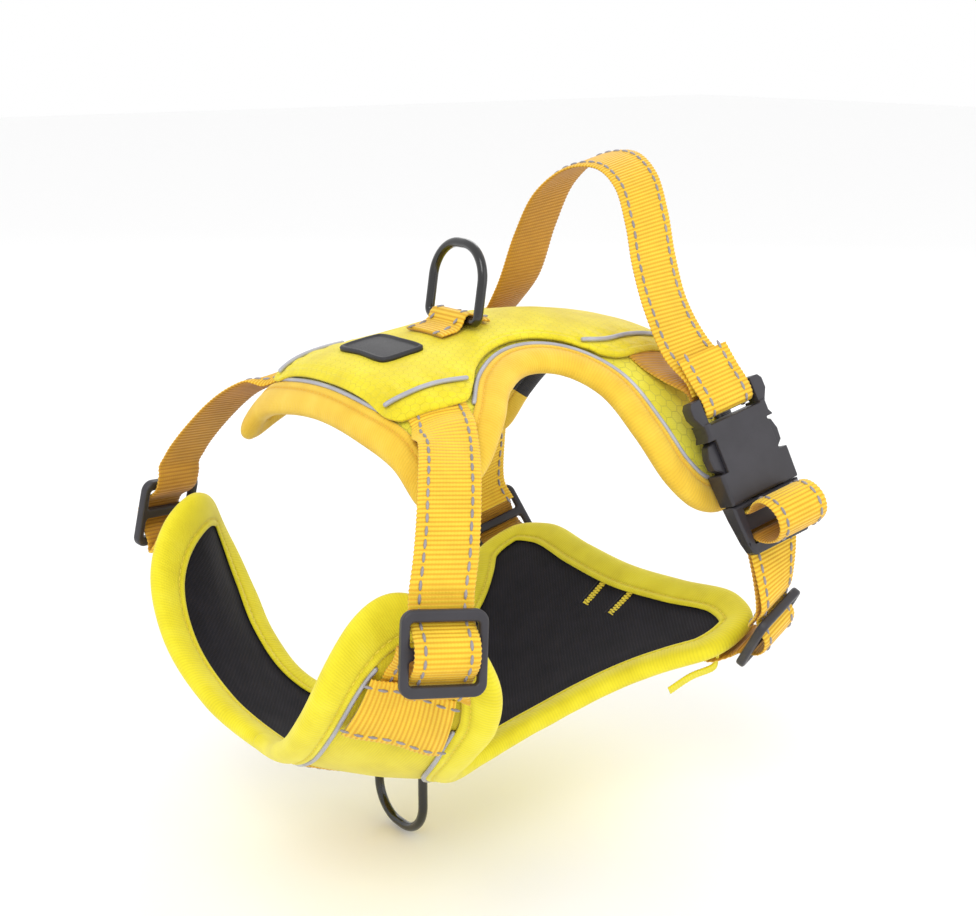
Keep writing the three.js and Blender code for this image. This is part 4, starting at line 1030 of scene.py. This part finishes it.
def sew(name, lines, thread, body="harness", sizes=None):
    points, edges = [], []
    for line in lines:
        first = len(points)
        points += list(line)
        edges += [(first + i, first + i + 1) for i in range(len(line) - 1)]
    made = newObject(name, points, [], None, smooth=False, edges=edges)
    modifier = made.modifiers.new("stitches", "NODES")
    modifier.node_group = stitches
    given = {**{"Pitch": 5.1, "Length": 4.0, "Radius": 0.66}, **(sizes or {})}
    for item in stitches.interface.items_tree:
        if item.in_out == "INPUT" and item.name in given:
            modifier[item.identifier] = given[item.name] * mm
        if item.in_out == "INPUT" and item.name == "Thread":
            modifier[item.identifier] = looks[thread]
    plainMesh(made)
    if not made.data.materials:
        made.data.materials.append(looks[thread])
    return finish(made, body)


def thinned(line, spacing):
    travelled = np.concatenate([[0], np.cumsum(np.linalg.norm(np.diff(line, axis=0), axis=1))])
    count = max(int(travelled[-1] / spacing), 2)
    return np.stack([np.interp(np.linspace(0, travelled[-1], count + 1), travelled,
            line[:, axis]) for axis in range(3)], -1)


for row in stitchRows:
    sew(row["name"], [thinned(line, 2.0) for line in row["lines"]], row["thread"], row["body"])
for bound in bindings:
    lines = [np.concatenate([line, line[:1]]) if bound["closed"] else line for line in bound["lines"]]
    sew(bound["piece"].name + "_stitches", lines, bound["thread"],
            sizes={"Pitch": 3.1, "Length": 2.3, "Radius": 0.33})
print("stitches made")


# Bar tacks on the chest lining, and dark lines along the slits beside them
def zigzag(form, start, end, width, height, turns):
    start, end = np.array(start, float), np.array(end, float)
    heading = (end - start) / np.linalg.norm(end - start)
    side = np.array([-heading[1], heading[0]])
    share = np.linspace(0, 1, turns * 2 + 1)
    swing = np.where(np.arange(len(share)) % 2 == 0, -0.5, 0.5) * width
    flat = start + (end - start) * share[:, None] + side * swing[:, None]
    return onPanel(form, flat[:, 0], flat[:, 1], np.full(len(flat), height))


barTacks = [((-4.4, 59.5), (-6.8, 78)), ((13.7, 59.6), (12.9, 78.4))]
liningFace = -0.55
tackLines, slitLines = [], []
for start, end in barTacks:
    tackLines.append(thinned(zigzag(chestForm, start, end, 3.4, liningFace, 13), 0.4))
    slit = np.array([start, end], float) + (-3.4, 0)
    slitLines.append(thinned(zigzag(chestForm, slit[0], slit[1], 0.1, liningFace, 6), 0.8))
sew("chest_lining_tacks", tackLines, "yellowThread", sizes={"Pitch": 0.9, "Length": 1.5, "Radius": 0.42})
# a line of black thread beside each tack is painted shade for the shaded slit there
sew("chest_lining_slits", slitLines, "blackThread", sizes={"Pitch": 1.1, "Length": 1.8, "Radius": 0.35})


def ringPath(width=35.0, height=32.0):
    half, corner, crown = width / 2, 3.0, 2.0
    path = []
    for cx, cy, radius, start, end, steps in (
            (half - corner, corner, corner, -90, 0, 8), (crown, height - half + crown, half - crown, 0, 90,
            28),
            (-crown, height - half + crown, half - crown, 90, 180, 28),
            (corner - half, corner, corner, 180, 270, 8)):
        for angle in np.radians(np.linspace(start, end, steps + 1)):
            path.append((cx + radius * math.cos(angle), 0, cy + radius * math.sin(angle)))
    return np.array(path)


def ring(name, node, form, along, surface, turn, body):
    place = barFrameOn(form, along, surface)["centre"]
    turned = Matrix.Rotation(math.radians(turn), 3, "X")
    path = np.array([turned @ Vector(point) for point in ringPath()]) + place
    flat = np.array(turned @ Vector((0, 1, 0)))
    finish(tube(name, path, 2.1, looks["steel"], 20, True, flat), body, [node])


ring("top_leash_wire", "top_ring", saddleForm, -18, heights["overlayTop"], -9, "top_leash_ring")
ring("chest_leash_wire", "chest_ring", chestForm, -52, heights["clothTop"], 180, "chest_leash_ring")
print("rings made")


def flatCurve(name, loops, thickness, corner):
    data = bpy.data.curves.new(name, "CURVE")
    data.dimensions, data.fill_mode = "2D", "BOTH"
    data.extrude = (thickness / 2 - corner) * mm
    data.bevel_depth, data.bevel_resolution, data.offset = corner * mm, 3, -corner * mm
    for loop in loops:
        spline = data.splines.new("POLY")
        spline.points.add(len(loop) - 1)
        for point, (x, y) in zip(spline.points, loop):
            point.co = (x * mm, y * mm, 0, 1)
        spline.use_cyclic_u = True
    made = bpy.data.objects.new(name, data)
    scene.collection.objects.link(made)
    graph = bpy.context.evaluated_depsgraph_get()
    mesh = bpy.data.meshes.new_from_object(made.evaluated_get(graph))
    bpy.data.objects.remove(made)
    return mesh


def roundedLoop(left, right, bottom, top, radius, steps=7):
    loop = []
    for cx, cy, start in ((right - radius, bottom + radius, -90), (right - radius, top - radius, 0),
                          (left + radius, top - radius, 90), (left + radius, bottom + radius, 180)):
        for angle in np.radians(np.linspace(start, start + 90, steps + 1)):
            loop.append((cx + radius * math.cos(angle), cy + radius * math.sin(angle)))
    return loop


def intoFrame(mesh, place, mirror):
    basis = Matrix(np.array([place["x"], place["y"], place["z"]]).T.tolist()).to_4x4()
    basis.translation = Vector(place["centre"]) * mm
    if mirror:
        basis = Matrix.Diagonal((-1, 1, 1, 1)) @ basis
    mesh.transform(basis)
    if mirror:
        mesh.flip_normals()
    return mesh


def hardObject(name, mesh, material):
    mesh.name = name
    mesh.materials.clear()
    mesh.materials.append(material)
    mesh.shade_smooth()
    made = bpy.data.objects.new(name, mesh)
    scene.collection.objects.link(made)
    return made


def sliderMesh(name):
    opening = 25 / 2 + 0.6
    loops = [roundedLoop(-16.5, 16.5, -16, 16, 5, 10),
            roundedLoop(-opening, opening, 2.25, 11.5, 1.5)[::-1],
             roundedLoop(-opening, opening, -11.5, -2.25, 1.5)[::-1]]
    return flatCurve(name, loops, 4.0, 1.1)


for mirror, label in ((False, "left"), (True, "right")):
    for kind, place in (("neck", neckFrame), ("girth", girthFrame)):
        name = "%s_strap_slider_%s" % (kind, label)
        made = hardObject(name, intoFrame(sliderMesh(name), place, mirror), looks["acetal"])
        finish(made, "harness", ["%s_slider_%s" % (kind, label)])


# A copy of a moulded node with its edges rounded
def roundedCopy(name, node, width):
    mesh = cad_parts[node].data.copy()
    cleaned = bmesh.new()
    cleaned.from_mesh(mesh)
    bmesh.ops.remove_doubles(cleaned, verts=cleaned.verts, dist=1e-6)
    bmesh.ops.dissolve_limit(cleaned, angle_limit=math.radians(3), verts=cleaned.verts, edges=cleaned.edges)
    cleaned.to_mesh(mesh)
    cleaned.free()
    made = hardObject(name, mesh, looks["acetal"])
    bevel = made.modifiers.new("round", "BEVEL")
    bevel.width, bevel.segments = width * mm, 3
    bevel.limit_method, bevel.angle_limit = "ANGLE", math.radians(32)
    bevel.harden_normals = False
    plainMesh(made)
    return made


for label in ("left", "right"):
    for kind in ("socket", "plug"):
        made = roundedCopy("buckle_%s_shell_%s" % (kind, label), "buckle_%s_%s" % (kind, label), 0.5)
        finish(made, "harness", ["buckle_%s_%s" % (kind, label)])
print("hardware made")


floorMaterial, _, floorShader = newMaterial("matt paper", **{"Roughness": 0.9, "Specular IOR Level": 0.1})
floorShader.inputs["Base Color"].default_value = hexColour("FBFBFB")
low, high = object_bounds()
floor = newObject("floor", [(-6000, -6000, low.z * 1000 - 1), (6000, -6000, low.z * 1000 - 1),
                            (6000, 6000, low.z * 1000 - 1), (-6000, 6000, low.z * 1000 - 1)],
                  [(0, 1, 2, 3)], floorMaterial, smooth=False)
floor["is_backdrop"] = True

world = bpy.data.worlds.new("studio")
world.use_nodes = True
world.node_tree.nodes["Background"].inputs["Color"].default_value = (1, 1, 1, 1)
world.node_tree.nodes["Background"].inputs["Strength"].default_value = 1.0
scene.world = world
scene.view_settings.view_transform = "Standard"


def areaLight(name, place, target, size, power):
    data = bpy.data.lights.new(name, "AREA")
    data.energy, data.size = power, size
    made = bpy.data.objects.new(name, data)
    scene.collection.objects.link(made)
    made.location = place
    made.rotation_euler = (Vector(target) - Vector(place)).to_track_quat("-Z", "Y").to_euler()


areaLight("key", (0.9, -1.0, 1.3), (0, 0, -0.06), 0.9, 9)
areaLight("fill", (1.2, 0.5, 0.35), (0, 0, -0.06), 1.0, 2.2)
areaLight("back", (-0.9, 0.9, 0.9), (0, 0, -0.03), 0.8, 4)
print("stage and lights made")

low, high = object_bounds()
